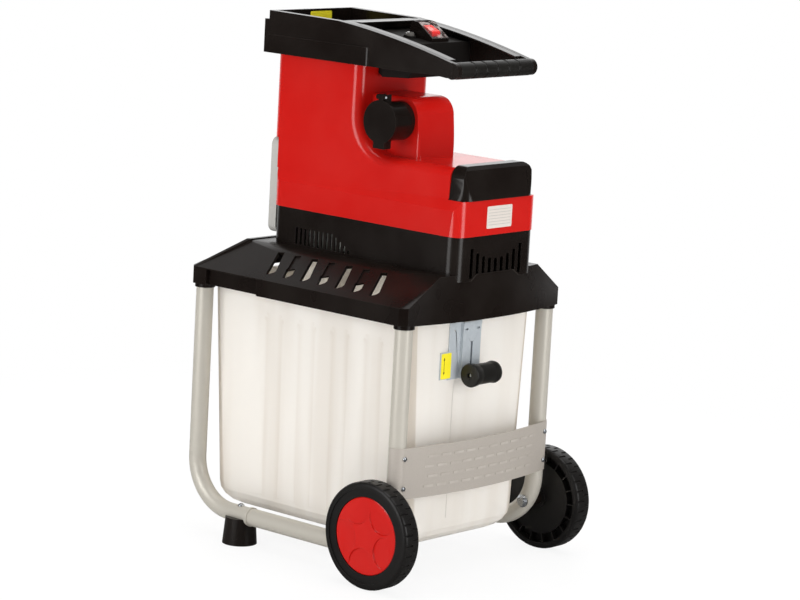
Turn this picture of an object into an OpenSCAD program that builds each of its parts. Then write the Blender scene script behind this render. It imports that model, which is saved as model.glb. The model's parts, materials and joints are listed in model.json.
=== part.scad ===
// Electric roller shredder for garden waste on a tube frame with a slide-out collecting box.
// +X is the wheel and handle end, -Y the left side, +Z up, the floor is z = 0.

/* [Wheels] */
// Outside diameter of a wheel
wheel_d = 180; // [170:1:190]
// Width of a wheel
wheel_w = 35; // [32:1:40]
// Distance between the outer faces of the two wheels
track_w = 483; // [478:1:500]
// Place of the axle bolts along the machine
axle_x = 187.5; // [182:0.5:192]
// Diameter of an axle bolt's shank
axle_d = 12; // [10:0.5:14]
// Diameter of the red hub cap
hub_cap_d = 130; // [120:1:136]
// Tread blocks round one half of a wheel
tread_blocks = 32; // [24:1:48]
// Depth of the grooves in the tread
tread_depth = 1.8; // [1.2:0.1:3]

/* [Frame] */
// Outside diameter of the frame tube
tube_d = 30; // [28:0.5:32]
// Wall of the frame tube
tube_wall = 1.5; // [1.2:0.1:2]
// Place of the front legs along the machine
leg_front_x = -259.5; // [-265:0.5:-255]
// Place of the rear legs along the machine
leg_rear_x = 196.5; // [194:0.5:200]
// Gap between a frame tube and its wheel
wheel_gap = 9.5; // [8:0.5:12]
// Radius of a bend at the tube's centre line
bend_r = 85; // [80:1:90]
// Height of the bottom run's centre line
run_z = 50; // [48:0.5:54]
// Place of the joint between front and rear tube
joint_x = -128; // [-132:1:-122]
// Length of the plug inside the joint
plug_len = 40; // [30:1:60]
// Place of the feet along the machine
foot_x = -150; // [-154:1:-146]
// Diameter of a foot on the floor
foot_d = 60; // [54:1:66]
// Diameter of a foot under the tube
foot_top_d = 52; // [46:1:56]

/* [Brace panel] */
// Lower edge of the panel
panel_z = 148; // [140:1:155]
// Height of the panel
panel_h = 86; // [76:1:96]
// How far the panel bows out
panel_bow = 19; // [12:1:24]
// Thickness of the sheet
panel_t = 1.5; // [1:0.1:2]

/* [Deck] */
// Front edge of the deck
deck_front_x = -277.5; // [-285:0.5:-276]
// Rear corners of the deck
deck_rear_x = 212; // [211:0.5:216]
// How far the deck's rear edge bows out
deck_bow = 26; // [22:1:30]
// How far the deck's sides stand outside the frame tubes' planes
deck_side = 22; // [20:0.5:26]
// Height of the skirt's lower edge above the floor
skirt_z = 437.5; // [430:0.5:446]
// Height of the upright skirt
skirt_h = 29.5; // [26:0.5:34]
// Height of the deck from the skirt's lower edge to the flat top
deck_h = 76.5; // [73:0.5:82]
// Half width of the flat top
plateau_half_w = 126; // [122:1:130]
// Front edge of the flat top
plateau_front_x = -211; // [-216:1:-206]
// Rear edge of the flat top at its corners
plateau_rear_x = 220; // [216:1:224]
// Wall of the moulded deck
deck_wall = 3; // [2.5:0.1:4]
// Slots in each sloped side
slot_count = 7; // [5:1:7]
// Distance between the slots
slot_pitch = 39; // [34:1:41]
// Width of a slot
slot_w = 13; // [10:0.5:15]

/* [Collecting box] */
// Height of the box's underside
box_z = 48; // [44:1:60]
// How far the box's rim lies above the skirt's lower edge
box_lift = 10.5; // [9:0.5:12]
// Rear wall of the box
box_rear_x = 190; // [184:0.5:190]
// Front wall of the box at the rim
box_front_x = -267; // [-268:0.5:-260]
// How far the front wall leans in at the bottom
box_front_lean = 12; // [8:1:20]
// Gap between the box's side and the frame tube
box_gap = 11; // [11:0.5:16]
// How far each side leans in at the bottom
box_side_lean = 10; // [6:1:16]
// Wall of the box
box_wall = 2.5; // [2:0.1:3.5]
// Radius of the upright corners
box_corner_r = 18; // [16:1:24]
// Width of the rim's flange
rim_w = 4.5; // [4:0.5:5]
// Depth of the flutes in the long sides
flute_depth = 4; // [2.5:0.5:6]

/* [Box lock] */
// Place of the lock across the machine
lock_y = -9; // [-14:0.5:-4]
// Half width of the lock's channel
channel_half_w = 23; // [21:0.5:26]
// Depth of the lock's channel
channel_depth = 10; // [8:0.5:12]
// How far the bracket's lower end lies below the box's rim
bracket_drop = 118; // [112:1:124]
// Height of the bracket
bracket_h = 96; // [90:1:100]
// Travel of the lock slider
lock_travel = 48; // [38:1:50]
// Thickness of the bracket's sheet
bracket_t = 2; // [1.5:0.1:2.5]
// Length of the lock's grip
grip_len = 66; // [58:1:72]
// Largest diameter of the lock's grip
grip_d = 40; // [34:1:44]

/* [Motor housing] */
// Front face of the lower housing
base_front_x = -186; // [-190:1:-182]
// Rear face of the lower housing
base_rear_x = 231; // [228:0.5:233]
// Half width of the lower housing
base_half_w = 102; // [98:0.5:106]
// Height of the black lower housing above the deck
base_h = 63; // [60:0.5:68]
// Upright corner radius of the lower housing
base_corner_r = 22; // [16:1:26]
// Wall of the housings
housing_wall = 3; // [2.5:0.1:4]
// Room between the lay gear and the top of the red body
body_room = 7.8; // [6:0.1:12]
// Height of the shoulder in the red sides above the seam
shoulder_h = 63; // [56:1:68]
// Half width of the red body above the shoulder
column_half_w = 90; // [86:0.5:94]
// Front face of the chute column
column_front_x = -205; // [-208:0.5:-200]
// Rear face of the chute column
column_rear_x = -10; // [-16:0.5:-4]
// Upright corner radius of the column
column_r = 17; // [12:1:20]
// Hollow radius from the column to the red body
fillet_r = 62; // [50:1:70]
// Front end of the black motor cap
cap_front_x = 198; // [192:1:202]
// Thickness of the grey front cover
front_cover_t = 15; // [11:0.5:15]

/* [Inlet] */
// Place of the inlet along the machine
inlet_x = 54; // [50:1:58]
// Height of the inlet's centre line above the red body
inlet_h = 60; // [58:1:64]
// Outside diameter of the inlet
inlet_d = 66; // [60:1:70]
// Distance of the inlet's mouth from the middle plane
inlet_mouth_y = 103; // [98:0.5:108]
// Distance of the bump's inlet face from the middle plane
bump_face_y = 56; // [52:1:60]
// Width of the bump behind the inlet
bump_w = 92; // [84:1:98]
// Foot of the bump's rear face
bump_rear_x = 100; // [98:1:104]
// Diameter of the flap
flap_d = 72; // [68:1:76]
// Thickness of the flap
flap_t = 4.5; // [3.5:0.1:6]

/* [Hopper and handle] */
// Height of the chute column above the red body
column_h = 148; // [144:0.5:154]
// Height of the hopper from the collar's lower edge to the rim
hopper_h = 72; // [68:0.5:78]
// Front face of the hopper collar
hopper_front_x = -220; // [-226:1:-216]
// Half width of the hopper and handle
hopper_half_w = 106; // [103:0.5:110]
// Thickness of the hollow side walls
rim_t = 14; // [11:0.5:16]
// Middle of the cross bar between hopper and handle
cross_bar_x = -53; // [-60:1:-46]
// Middle of the grip along the machine
handle_x = 199; // [192:1:206]
// Height of the grip's middle above the collar's lower edge
grip_rise = 11; // [8:0.5:14]
// Thickness of the grip along the machine
handle_d = 28; // [24:0.5:30]
// Finger grooves round the grip
groove_count = 5; // [3:1:7]
// Length of the switch's frame along the machine
switch_len = 52; // [48:1:56]
// Width of the switch's frame
switch_wide = 42; // [38:1:46]

/* [Drive] */
// Height of the roller's centre line above the deck
drum_h = 61; // [58:0.5:64]
// Diameter over the roller's teeth
drum_d = 76; // [70:1:78]
// Length of the roller
drum_len = 88; // [80:1:90]
// Teeth of the large gear on the roller's shaft
drum_gear_teeth = 40; // [40:1:40]
// Teeth of the pinion that drives it
lay_pinion_teeth = 10; // [10:1:10]
// Module of that gear pair
coarse_module = 3; // [2.9:0.05:3.05]
// Teeth of the gear on the lay shaft
lay_gear_teeth = 40; // [40:1:40]
// Teeth of the motor's pinion
motor_pinion_teeth = 10; // [10:1:10]
// Module of the fast gear pair
fine_module = 2; // [1.9:0.05:2]
// Diameter of the motor's can
motor_d = 122; // [112:1:126]
// Diameter of the rotor's core
rotor_d = 62; // [54:1:68]

/* [Fits] */
// Radial play of a turning shaft
run_play = 0.05; // [0.02:0.01:0.09]
// Gap between parts that slide or pass each other
slide_gap = 0.4; // [0.3:0.05:0.6]
// Gap between fixed parts that are pushed together
push_gap = 0.1; // [0.05:0.01:0.2]

/* [Hidden] */
$fn = 48;
hull_fn = 32;
cut = 1;
rim_t_box = 6;
drum_mid_x = -105;
pin_d = 6;
pin_places = [[-9.5, -3], [9.5, -3], [0, 11]];

// Gears, which set the height of the red body
coarse_centres = coarse_module * (drum_gear_teeth + lay_pinion_teeth) / 2;
fine_centres = fine_module * (lay_gear_teeth + motor_pinion_teeth) / 2;
tip_rise = 0.9;
coarse_tip_r = coarse_module * (drum_gear_teeth / 2 + tip_rise);
fine_tip_r = fine_module * (lay_gear_teeth / 2 + tip_rise);
lay_y = 40;

// Widths and heights, each from the piece beside or below it
tube_r = tube_d / 2;
leg_y = track_w / 2 - wheel_w - wheel_gap - tube_r;
deck_half_w = leg_y + deck_side;
box_half_w = leg_y - tube_r - box_gap;
deck_z = skirt_z + deck_h;
box_top_z = skirt_z + box_lift;
bracket_z = box_top_z - bracket_drop;
seam_z = deck_z + base_h;
shoulder_z = seam_z + shoulder_h;
drum_z = deck_z + drum_h;
lay_z = drum_z + sqrt(coarse_centres * coarse_centres - lay_y * lay_y);
motor_z = lay_z - sqrt(fine_centres * fine_centres - lay_y * lay_y);
body_top_z = lay_z + fine_tip_r + body_room;
inlet_z = body_top_z + inlet_h;
hopper_z = body_top_z + column_h;
hopper_top_z = hopper_z + hopper_h;
handle_z = hopper_z + grip_rise;

// Wheels and axles
wheel_r = wheel_d / 2;
wheel_face_y = track_w / 2;
wheel_inner_y = wheel_face_y - wheel_w;
cap_seat_r = hub_cap_d / 2 + slide_gap;
cap_depth = 14;
rim_inner_r = wheel_r - 11;
groove_in_r = wheel_r - 27;
hub_r = axle_d / 2 + 10;
bolt_head_d = axle_d + 10;
bolt_head_t = 7;
nut_t = 5;

// Frame
tube_in_r = tube_r - tube_wall;
bend_front_x = leg_front_x + bend_r;
bend_rear_x = leg_rear_x - bend_r;
bend_z = run_z + bend_r;
leg_top_z = skirt_z + 27;
bead_r = tube_r + 1.5;
bead_len = 6;
foot_screw_d = 6;

// Brace panel
panel_x = leg_rear_x + tube_r + push_gap;
panel_arc_r = (leg_y * leg_y + panel_bow * panel_bow) / (2 * panel_bow);
panel_arc_x = panel_x + panel_bow - panel_arc_r;
panel_screw_inset = 18;

// Deck
skirt_top_z = skirt_z + skirt_h;
slope_rise = deck_z - skirt_top_z;
slope_run = deck_half_w - plateau_half_w;
slope_angle = atan2(slope_rise, slope_run);
slope_len = norm([slope_rise, slope_run]);
slot_depth = 6;
slot_x = 14;
corner_cut = 10;
collar_d = tube_d + 5;
collar_z = skirt_z - 7;
seat_z = deck_z - 11;
rail_in_y = box_half_w + rim_w + 2.5;
rail_wall = 3.5;
rail_ledge_z = box_top_z - rim_t_box - slide_gap;
outlet_front_x = drum_mid_x - 50;
outlet_rear_x = drum_mid_x + 50;
outlet_half_w = 46;

// Collecting box and lock
box_bottom_r = 38;
flute_x = -6;
flute_pitch = 75.5;
flute_w = 66;
flute_r = (flute_w * flute_w / 4 + flute_depth * flute_depth) / (2 * flute_depth);
channel_x = box_rear_x + channel_depth;
slider_t = 3;
slot_lock_w = 6;
stud_d = slot_lock_w - 1;
grip_z = bracket_z + 11;
slider_h = bracket_h - 6;
flange_left = 28;
flange_right = 6;
tab_len = 20;
tab_h = 46;
rivet_d = 4.2;
rivet_drop = 14;
grip_x = channel_x + grip_d / 2 + 3.5;

// Housings
band_rear_x = base_rear_x + 2;
body_front_x = column_front_x + front_cover_t;
shoulder_drop = 20;
cap_z = shoulder_z - 4;
cap_half_w = column_half_w - 3;
fillet_x = column_rear_x + fillet_r;
fillet_z = body_top_z + fillet_r;
lug_r = 4.5;
hinge_z = inlet_z + flap_d / 2 + lug_r + 0.5;
hinge_y = inlet_mouth_y + flap_t / 2;
bump_top_z = inlet_z + 39.5;
bump_r = 33;
bump_slant = 7.5;
bump_edge_r = 7;

// Hopper and handle
collar_wall = 4;
lip_inset = 10;
side_step = 0.4;
band_top_z = hopper_z + 57;
band_rear = column_rear_x + 32;
rim_mid_x = 29;
rim_mid_z = hopper_top_z - 10;
rim_low_z = handle_z + 13;
panel_drop = 11;
panel_rear_x = 74;
panel_half_w = hopper_half_w - rim_t - slide_gap;
switch_x = 42;
switch_y = 19;
reset_x = 28;
reset_y = -14;
rocker_z = 8;
rocker_pin_d = 4;
well_l = 32;
well_w = 22;
reset_d = 15;
lid_t = 4;
lid_fall = 14;
lid_front_x = cross_bar_x + 6 + slide_gap;
lid_front_z = hopper_top_z - 6 - panel_drop;

// Drive
shaft_d = 20;
case_front_x = drum_mid_x + drum_len / 2 + 16;
plate_t = 16;
coarse_x = case_front_x + plate_t + 3;
coarse_w = 20;
fine_x = coarse_x + coarse_w + 6;
fine_w = 16;
case_rear_x = fine_x + fine_w + 4;
lay_angle = atan2(lay_z - drum_z, lay_y);
motor_angle = atan2(motor_z - lay_z, -lay_y);
lay_d = 12;
motor_shaft_d = 12;
bearing_wall = 7;
bearing_w = 10;
motor_front_x = case_rear_x + plate_t;
motor_len = 132;
motor_rear_x = motor_front_x + motor_len;
bell_t = 10;
post_d = 12;
post_y = coarse_tip_r + 5.3 + post_d / 2;
case_edge = 10;
case_r = 14;
case_rise = 24;
fan_x = motor_rear_x + 4;
fan_w = 13;
fan_r = 46;
plate_gap = 4.5;
plate_travel = 3;
plate_depth = 16;
plate_half_h = 32;
plate_tooth_h = 26;
screw_drop = 12;
cutter_wall = 7;
cutter_half_w = drum_d / 2 + plate_gap + plate_depth + 6 + cutter_wall;
screw_d = 8;

// Shared shapes

// Rectangle with round corners, given by its edges.
module rounded_rect(x0, x1, y0, y1, r) {
  translate([x0 + r, y0]) square([x1 - x0 - 2 * r, y1 - y0]);
  translate([x0, y0 + r]) square([x1 - x0, y1 - y0 - 2 * r]);
  for (x = [x0 + r, x1 - r])
    for (y = [y0 + r, y1 - r])
      translate([x, y]) circle(r);
}

// Profile in the YZ plane, extruded along X.
module along_x(x0, x1) {
  translate([x0, 0, 0]) rotate([90, 0, 90]) linear_extrude(x1 - x0) children();
}

// Profile in the XZ plane, extruded along Y.
module along_y(y0, y1) {
  translate([0, y1, 0]) rotate([90, 0, 0]) linear_extrude(y1 - y0) children();
}

// Profile in the XY plane, extruded along Z.
module along_z(z0, z1) {
  translate([0, 0, z0]) linear_extrude(z1 - z0) children();
}

// Block given by its edges.
module block(x0, x1, y0, y1, z0, z1) {
  translate([x0, y0, z0]) cube([x1 - x0, y1 - y0, z1 - z0]);
}

module rod_x(x0, x1, y, z, d) {
  translate([x0, y, z]) rotate([0, 90, 0]) cylinder(h = x1 - x0, d = d);
}

module rod_y(y0, y1, x, z, d) {
  translate([x, y0, z]) rotate([-90, 0, 0]) cylinder(h = y1 - y0, d = d);
}

module rod_z(z0, z1, x, y, d) {
  translate([x, y, z0]) cylinder(h = z1 - z0, d = d);
}

// Copy on the right side of what is drawn on the left side.
module on_side(side) {
  if (side < 0) children();
  else mirror([0, 1, 0]) children();
}

// Frame

module tube_ring(outer_r = tube_r) {
  difference() {
    circle(outer_r);
    circle(tube_in_r);
  }
}

// Quarter bend of the left frame about a centre at x, from the given start angle.
module tube_bend(x, start) {
  translate([x, -leg_y, bend_z]) rotate([90, 0, 0]) rotate([0, 0, start])
    rotate_extrude(angle = 90) translate([bend_r, 0]) children();
}

module tube_leg(x) {
  translate([x, -leg_y, bend_z]) linear_extrude(leg_top_z - bend_z) tube_ring();
}

module tube_run(x0, x1) {
  translate([x0, -leg_y, run_z]) rotate([0, 90, 0]) linear_extrude(x1 - x0) children();
}

module front_leg(side) {
  color("#c0bbb0") on_side(side) difference() {
    union() {
      tube_leg(leg_front_x);
      tube_bend(bend_front_x, 180) tube_ring();
      tube_run(bend_front_x, joint_x) tube_ring();
      tube_run(joint_x - plug_len, joint_x + plug_len) difference() {
        circle(tube_in_r - push_gap / 2);
        circle(tube_in_r - tube_wall);
      }
      tube_run(joint_x - plug_len, joint_x - plug_len + tube_wall) difference() {
        circle(tube_r);
        circle(tube_in_r - tube_wall);
      }
    }
    rod_z(run_z - tube_d, run_z + tube_d, foot_x, -leg_y, foot_screw_d + push_gap);
  }
}

module rear_leg(side) {
  color("#c0bbb0") on_side(side) difference() {
    union() {
      tube_leg(leg_rear_x);
      tube_bend(bend_rear_x, -90) tube_ring();
      tube_run(joint_x + push_gap, bend_rear_x) tube_ring();
      tube_run(joint_x + push_gap, joint_x + bead_len) tube_ring(bead_r);
    }
    rod_y(-leg_y - tube_d, -leg_y + tube_d, axle_x, wheel_r, axle_d + push_gap);
    panel_holes(-leg_y);
  }
}

// Holes for the panel's screws through the rear of a leg.
module panel_holes(y) {
  for (z = [panel_z + panel_screw_inset, panel_z + panel_h - panel_screw_inset])
    rod_x(leg_rear_x, leg_rear_x + tube_d, y, z, 4 + push_gap);
}

module foot(side) {
  color("#1a1715") on_side(side) difference() {
    rod_cone();
    tube_run(foot_x - foot_d, joint_x + push_gap) circle(tube_r + push_gap);
    tube_run(joint_x, joint_x + tube_d) circle(bead_r + push_gap);
    rod_z(-cut, run_z, foot_x, -leg_y, foot_screw_d + push_gap);
    difference() {
      rod_z(-cut, 20, foot_x, -leg_y, foot_d - 14);
      rod_z(-2 * cut, 22, foot_x, -leg_y, foot_screw_d + 12);
    }
  }
}

module rod_cone() {
  translate([foot_x, -leg_y, 0]) cylinder(h = run_z - 4, d1 = foot_d, d2 = foot_top_d);
}

module foot_screws() {
  color("#b8b8b4") for (side = [-1, 1]) on_side(side) {
    rod_z(8, run_z + tube_r, foot_x, -leg_y, foot_screw_d);
    rod_z(run_z + tube_r + push_gap / 2, run_z + tube_r + 4, foot_x, -leg_y, foot_screw_d * 2);
    rod_z(run_z + tube_r - 1, run_z + tube_r + 2, foot_x, -leg_y, foot_screw_d);
  }
}

module brace_panel() {
  embossed_rows = 4;
  color("#b2aaa0") difference() {
    union() {
      along_z(panel_z, panel_z + panel_h) {
        intersection() {
          translate([panel_arc_x, 0]) difference() {
            circle(panel_arc_r + panel_t, $fn = 200);
            circle(panel_arc_r, $fn = 200);
          }
          translate([leg_rear_x, -leg_y]) square([tube_d + panel_bow + panel_t, 2 * leg_y]);
        }
        for (side = [-1, 1]) intersection() {
          translate([leg_rear_x, side * leg_y]) difference() {
            circle(tube_r + push_gap + panel_t);
            circle(tube_r + push_gap);
          }
          panel_wrap_zone(side);
        }
      }
      for (row = [0 : embossed_rows - 1]) {
        z = panel_z + 18 + row * (panel_h - 36) / (embossed_rows - 1);
        for (k = [-5 : 4]) embossed_dash(z, (k + 0.5 + (row % 2) * 0.3) * 29 / panel_arc_r * 180 / PI);
      }
    }
    panel_holes(-leg_y);
    panel_holes(leg_y);
  }
}

// Outer and rear part of a leg's circumference, where the panel wraps it.
module panel_wrap_zone(side) {
  x0 = leg_rear_x - 4;
  y0 = side < 0 ? -leg_y - tube_d : leg_y - tube_r / 3;
  translate([x0, y0]) square([2 * tube_d, tube_d + tube_r / 3]);
}

// Raised dash pressed into the bowed sheet, centred at an angle along the arc.
module embossed_dash(z, angle) {
  dash = 21 / panel_arc_r * 180 / PI;
  translate([panel_arc_x, 0, z]) rotate([0, 0, angle - dash / 2])
    rotate_extrude(angle = dash) translate([panel_arc_r + panel_t / 2, -2]) square([1.4, 4]);
}

module panel_screws() {
  head_d = 8.5;
  seat_x = panel_x + panel_t + push_gap + head_d * panel_bow / leg_y;
  color("#b8b8b4") for (y = [-leg_y, leg_y])
    for (z = [panel_z + panel_screw_inset, panel_z + panel_h - panel_screw_inset]) {
      rod_x(leg_rear_x + tube_r - 6, seat_x + 1, y, z, 4);
      rod_x(seat_x, seat_x + 3, y, z, head_d);
    }
}

// Wheels

// Turn a shape made about the Z axis so that it lies outside the left frame, its z = 0 plane on
// the wheel's outer face and its z axis pointing to the middle of the machine.
module at_wheel(side) {
  on_side(side) translate([axle_x, -wheel_face_y, wheel_r]) rotate([-90, 0, 0]) children();
}

// Outline of half a tread: a circle with a groove between each two blocks.
module tread_outline(turn) {
  step = 360 / tread_blocks;
  polygon([
    for (k = [0 : tread_blocks - 1])
      for (p = [[0, 0], [0.08, 1], [0.33, 1], [0.59, 1], [0.84, 1], [0.92, 0]])
        let (a = (k + p[0] + turn) * step, r = wheel_r - tread_depth * (1 - p[1]))
          [r * cos(a), r * sin(a)]
  ]);
}

// Solid of revolution that rounds the tyre's shoulders.
module tyre_crown() {
  rotate_extrude($fn = 96) polygon([
    [0, 0], [wheel_r - 6, 0], [wheel_r - 3, 0.8], [wheel_r - 1, 2.8], [wheel_r, 6],
    [wheel_r, wheel_w - 6], [wheel_r - 1, wheel_w - 2.8], [wheel_r - 3, wheel_w - 0.8],
    [wheel_r - 6, wheel_w], [0, wheel_w]
  ]);
}

module wheel(side) {
  web_t = 5;
  rib_count = 18;
  disc_z = wheel_w - 3;
  color("#171514") at_wheel(side) difference() {
    union() {
      difference() {
        intersection() {
          union() {
            along_z(0, wheel_w / 2) tread_outline(0);
            along_z(wheel_w / 2, wheel_w) tread_outline(0.5);
          }
          tyre_crown();
        }
        translate([0, 0, -cut]) cylinder(h = wheel_w + 2 * cut, r = rim_inner_r);
      }
      translate([0, 0, 2]) rotate_extrude() {
        translate([cap_seat_r, 0]) square([rim_inner_r - cap_seat_r + 1, cap_depth + web_t - 2]);
        translate([groove_in_r - 3, cap_depth - 2]) square([rim_inner_r - groove_in_r + 4, web_t]);
        translate([groove_in_r - 3, cap_depth - 2]) square([3, disc_z - cap_depth]);
        translate([hub_r - 2, disc_z - 6]) square([groove_in_r - hub_r + 1, 4]);
      }
      translate([0, 0, cap_depth - 2]) cylinder(h = wheel_w - cap_depth + 2, r = hub_r);
      for (k = [0 : rib_count - 1]) rotate([0, 0, k * 360 / rib_count])
        translate([groove_in_r - 1, -1, cap_depth + 2])
          cube([rim_inner_r - groove_in_r + 2, 2, wheel_w - cap_depth - 6]);
    }
    translate([0, 0, -cut]) cylinder(h = wheel_w + 2 * cut, r = axle_d / 2 + run_play);
  }
}

module hub_cap(side) {
  leaf_count = 5;
  leaf_r = hub_cap_d * 0.21;
  leaf_x = hub_cap_d * 0.385;
  leaf_tilt = 5;
  face_z = 2;
  edge = hub_cap_d / 2;
  color("#c81e18") at_wheel(side) difference() {
    translate([0, 0, face_z]) rotate_extrude($fn = 96) polygon([
      [0, 0.6], [edge * 0.5, 0.3], [edge - 6, 0], [edge - 2, 0.4], [edge - 0.6, 1.2], [edge, 2.8],
      [edge, cap_depth - face_z - 0.2], [edge - 3, cap_depth - face_z - 0.2], [edge - 3, 5], [0, 5]
    ]);
    for (k = [0 : leaf_count - 1]) rotate([0, 0, (k + 0.35) * 360 / leaf_count])
      translate([leaf_x, 0, face_z + 0.6]) rotate([leaf_tilt * 0.5, leaf_tilt, 0])
        translate([0, 0, -9]) cylinder(h = 9, r1 = leaf_r + 3, r2 = leaf_r);
  }
}

module axle_bolt(side) {
  head_y = leg_y - tube_r - push_gap;
  color("#b8b8b4") on_side(side) {
    rod_y(-wheel_face_y + cap_depth - 5, -head_y + 2, axle_x, wheel_r, axle_d);
    translate([axle_x, -head_y, wheel_r]) rotate([-90, 0, 0]) rotate_extrude()
      polygon([[0, 0], [bolt_head_d / 2, 0], [bolt_head_d / 2, 2.5], [bolt_head_d / 3, bolt_head_t],
        [0, bolt_head_t]]);
  }
}

module axle_spacers() {
  color("#8a8a88") for (side = [-1, 1]) on_side(side) difference() {
    rod_y(-wheel_inner_y + slide_gap, -leg_y - 2, axle_x, wheel_r, axle_d + 9);
    tube_bend(bend_rear_x, -90) circle(tube_r + push_gap / 2);
    rod_y(-wheel_face_y, -leg_y, axle_x, wheel_r, axle_d + push_gap);
  }
}

module axle_nuts() {
  hub_end = cap_depth - 2;
  color("#b8b8b4") for (side = [-1, 1]) at_wheel(side) difference() {
    translate([0, 0, hub_end - slide_gap - nut_t + 1]) cylinder(h = nut_t - 1, d = axle_d + 7, $fn = 6);
    translate([0, 0, 0]) cylinder(h = wheel_w, d = axle_d + push_gap);
  }
}

// Deck

// Plan of the deck at the skirt, drawn in by an inset; the rear edge is bowed.
module skirt_plan(inset) {
  w = deck_half_w - inset;
  steps = 8;
  polygon(concat(
    [[deck_front_x + inset, -w + corner_cut], [deck_front_x + inset + corner_cut, -w],
      [deck_rear_x - inset - corner_cut, -w]],
    [for (k = [-steps : steps]) let (y = (w - corner_cut) * k / steps)
      [deck_rear_x - inset + deck_bow * (1 - y * y / (w * w)), y]],
    [[deck_rear_x - inset - corner_cut, w], [deck_front_x + inset + corner_cut, w],
      [deck_front_x + inset, w - corner_cut]]
  ));
}

// Plan of the flat top, drawn in by an inset.
module plateau_plan(inset) {
  w = plateau_half_w - inset;
  steps = 6;
  top_bow = deck_bow / 2;
  polygon(concat(
    [[plateau_front_x + inset, -w]],
    [for (k = [-steps : steps]) let (y = w * k / steps)
      [plateau_rear_x - inset + top_bow * (1 - y * y / (w * w)), y]],
    [[plateau_front_x + inset, w]]
  ));
}

module deck_body(inset, drop) {
  hull() {
    along_z(skirt_z - (inset > 0 ? cut : 0), skirt_top_z - drop / 2) skirt_plan(inset);
    along_z(deck_z - drop - cut, deck_z - drop) plateau_plan(inset / 2);
  }
}

// Outline of the black lower housing, grown by a gap.
module base_plan(grow) {
  rounded_rect(base_front_x - grow, base_rear_x + grow, -base_half_w - grow, base_half_w + grow,
    base_corner_r + grow);
}

// Frame on the left slope with its origin at the skirt's top edge and y up the slope.
module on_slope() {
  translate([0, -deck_half_w, skirt_top_z]) rotate([slope_angle, 0, 0]) children();
}

// Slot outline: a slanted oblong, the long ones reaching higher than the short ones.
module slot_plan(long) {
  foot_y = slope_len * 0.16;
  head_y = slope_len * (long ? 0.84 : 0.5);
  lean = (head_y - foot_y) * 0.33;
  half = slot_w / 2;
  polygon([[-half, foot_y], [0, foot_y + 3], [half * 0.8, foot_y + 8], [half, foot_y + 13],
    [half - lean, head_y], [-half - lean, head_y - (long ? 3 : 7)]]);
}

module slope_slots() {
  for (k = [0 : slot_count - 1]) translate([slot_x + (k - (slot_count - 1) / 2) * slot_pitch, 0, 0]) {
    on_slope() along_z(-slot_depth * 2, cut * 4) slot_plan(k % 2 == 0);
    if (k % 2 == 1) on_slope() along_z(-deck_wall, cut * 4) slot_plan(true);
  }
}

// Thick strip under the left slope that gives the slots their depth.
module slot_strip() {
  half = slot_pitch * slot_count / 2 + 12;
  on_slope() block(slot_x - half - 12, slot_x + half, slope_len * 0.08, slope_len * 0.92, -slot_depth, 0);
}

// Raised rib along the left front hip, from the skirt up to the flat top.
module hip_rib() {
  rib_w = 7;
  rib_h = 2;
  hull() {
    translate([deck_front_x + corner_cut, -deck_half_w + 1, skirt_top_z - 6])
      cube([rib_w, rib_w, 6 + rib_h / 2]);
    translate([plateau_front_x - 4, -plateau_half_w - 4, deck_z - 4]) cube([rib_w, rib_w, 4 + rib_h]);
  }
  block(plateau_front_x - 4, plateau_front_x + rib_w - 4, -plateau_half_w - 4, 1, deck_z - 4, deck_z + rib_h);
}

// Shelf inside the skirt that the box's rim hangs on, with a low rib that guides it.
module box_rail() {
  along_x(deck_front_x + 1, box_rear_x - 4) polygon([
    [-deck_half_w + 1, rail_ledge_z - rail_wall],
    [-box_half_w - 1, rail_ledge_z - rail_wall],
    [-box_half_w - 1, rail_ledge_z],
    [-rail_in_y, rail_ledge_z],
    [-rail_in_y, box_top_z + 3],
    [-rail_in_y - rail_wall, box_top_z + 3],
    [-rail_in_y - rail_wall, rail_ledge_z],
    [-deck_half_w + 1, rail_ledge_z]
  ]);
}

// Hand recess in the skirt's left side near the front.
module hand_recess(grow) {
  block(leg_front_x + 22 - grow, leg_front_x + 142 + grow, -deck_half_w - (grow > 0 ? 0 : cut),
    -deck_half_w + 10 + grow, skirt_z - (grow > 0 ? 0 : cut), skirt_top_z + grow - 2);
}

module deck() {
  keeper_x = box_rear_x + bracket_t;
  color("#1a1715") difference() {
    union() {
      difference() {
        deck_body(0, 0);
        deck_body(deck_wall, deck_wall * 1.2);
      }
      intersection() {
        deck_body(0, 0);
        union() {
          for (side = [-1, 1]) on_side(side) {
            box_rail();
            slot_strip();
            hand_recess(deck_wall);
          }
          along_z(seat_z - deck_wall, deck_z) base_plan(deck_wall + push_gap);
          block(keeper_x - 6, keeper_x + 16, lock_y - channel_half_w - 10, lock_y + channel_half_w + 10,
            box_top_z + 8, deck_z);
        }
      }
      for (side = [-1, 1]) on_side(side) difference() {
        hip_rib();
        deck_body(deck_wall / 2, deck_wall / 2);
      }
      for (x = [leg_front_x, leg_rear_x])
        for (y = [-leg_y, leg_y])
          rod_z(collar_z, leg_top_z + 4, x, y, collar_d);
    }
    along_z(seat_z, deck_z + cut) base_plan(push_gap);
    block(outlet_front_x, outlet_rear_x, -outlet_half_w, outlet_half_w, skirt_z, deck_z);
    for (side = [-1, 1]) on_side(side) {
      slope_slots();
      hand_recess(0);
    }
    for (x = [leg_front_x, leg_rear_x])
      for (y = [-leg_y, leg_y])
        rod_z(collar_z - cut, leg_top_z + push_gap, x, y, tube_d + push_gap);
    block(deck_front_x - cut, deck_front_x + deck_wall + cut, -rail_in_y, rail_in_y, skirt_z - cut, box_top_z + 4);
    block(keeper_x - 2, keeper_x + channel_depth, lock_y - channel_half_w, lock_y + channel_half_w, skirt_z,
      seat_z - 12);
  }
}

// Collecting box

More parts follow.
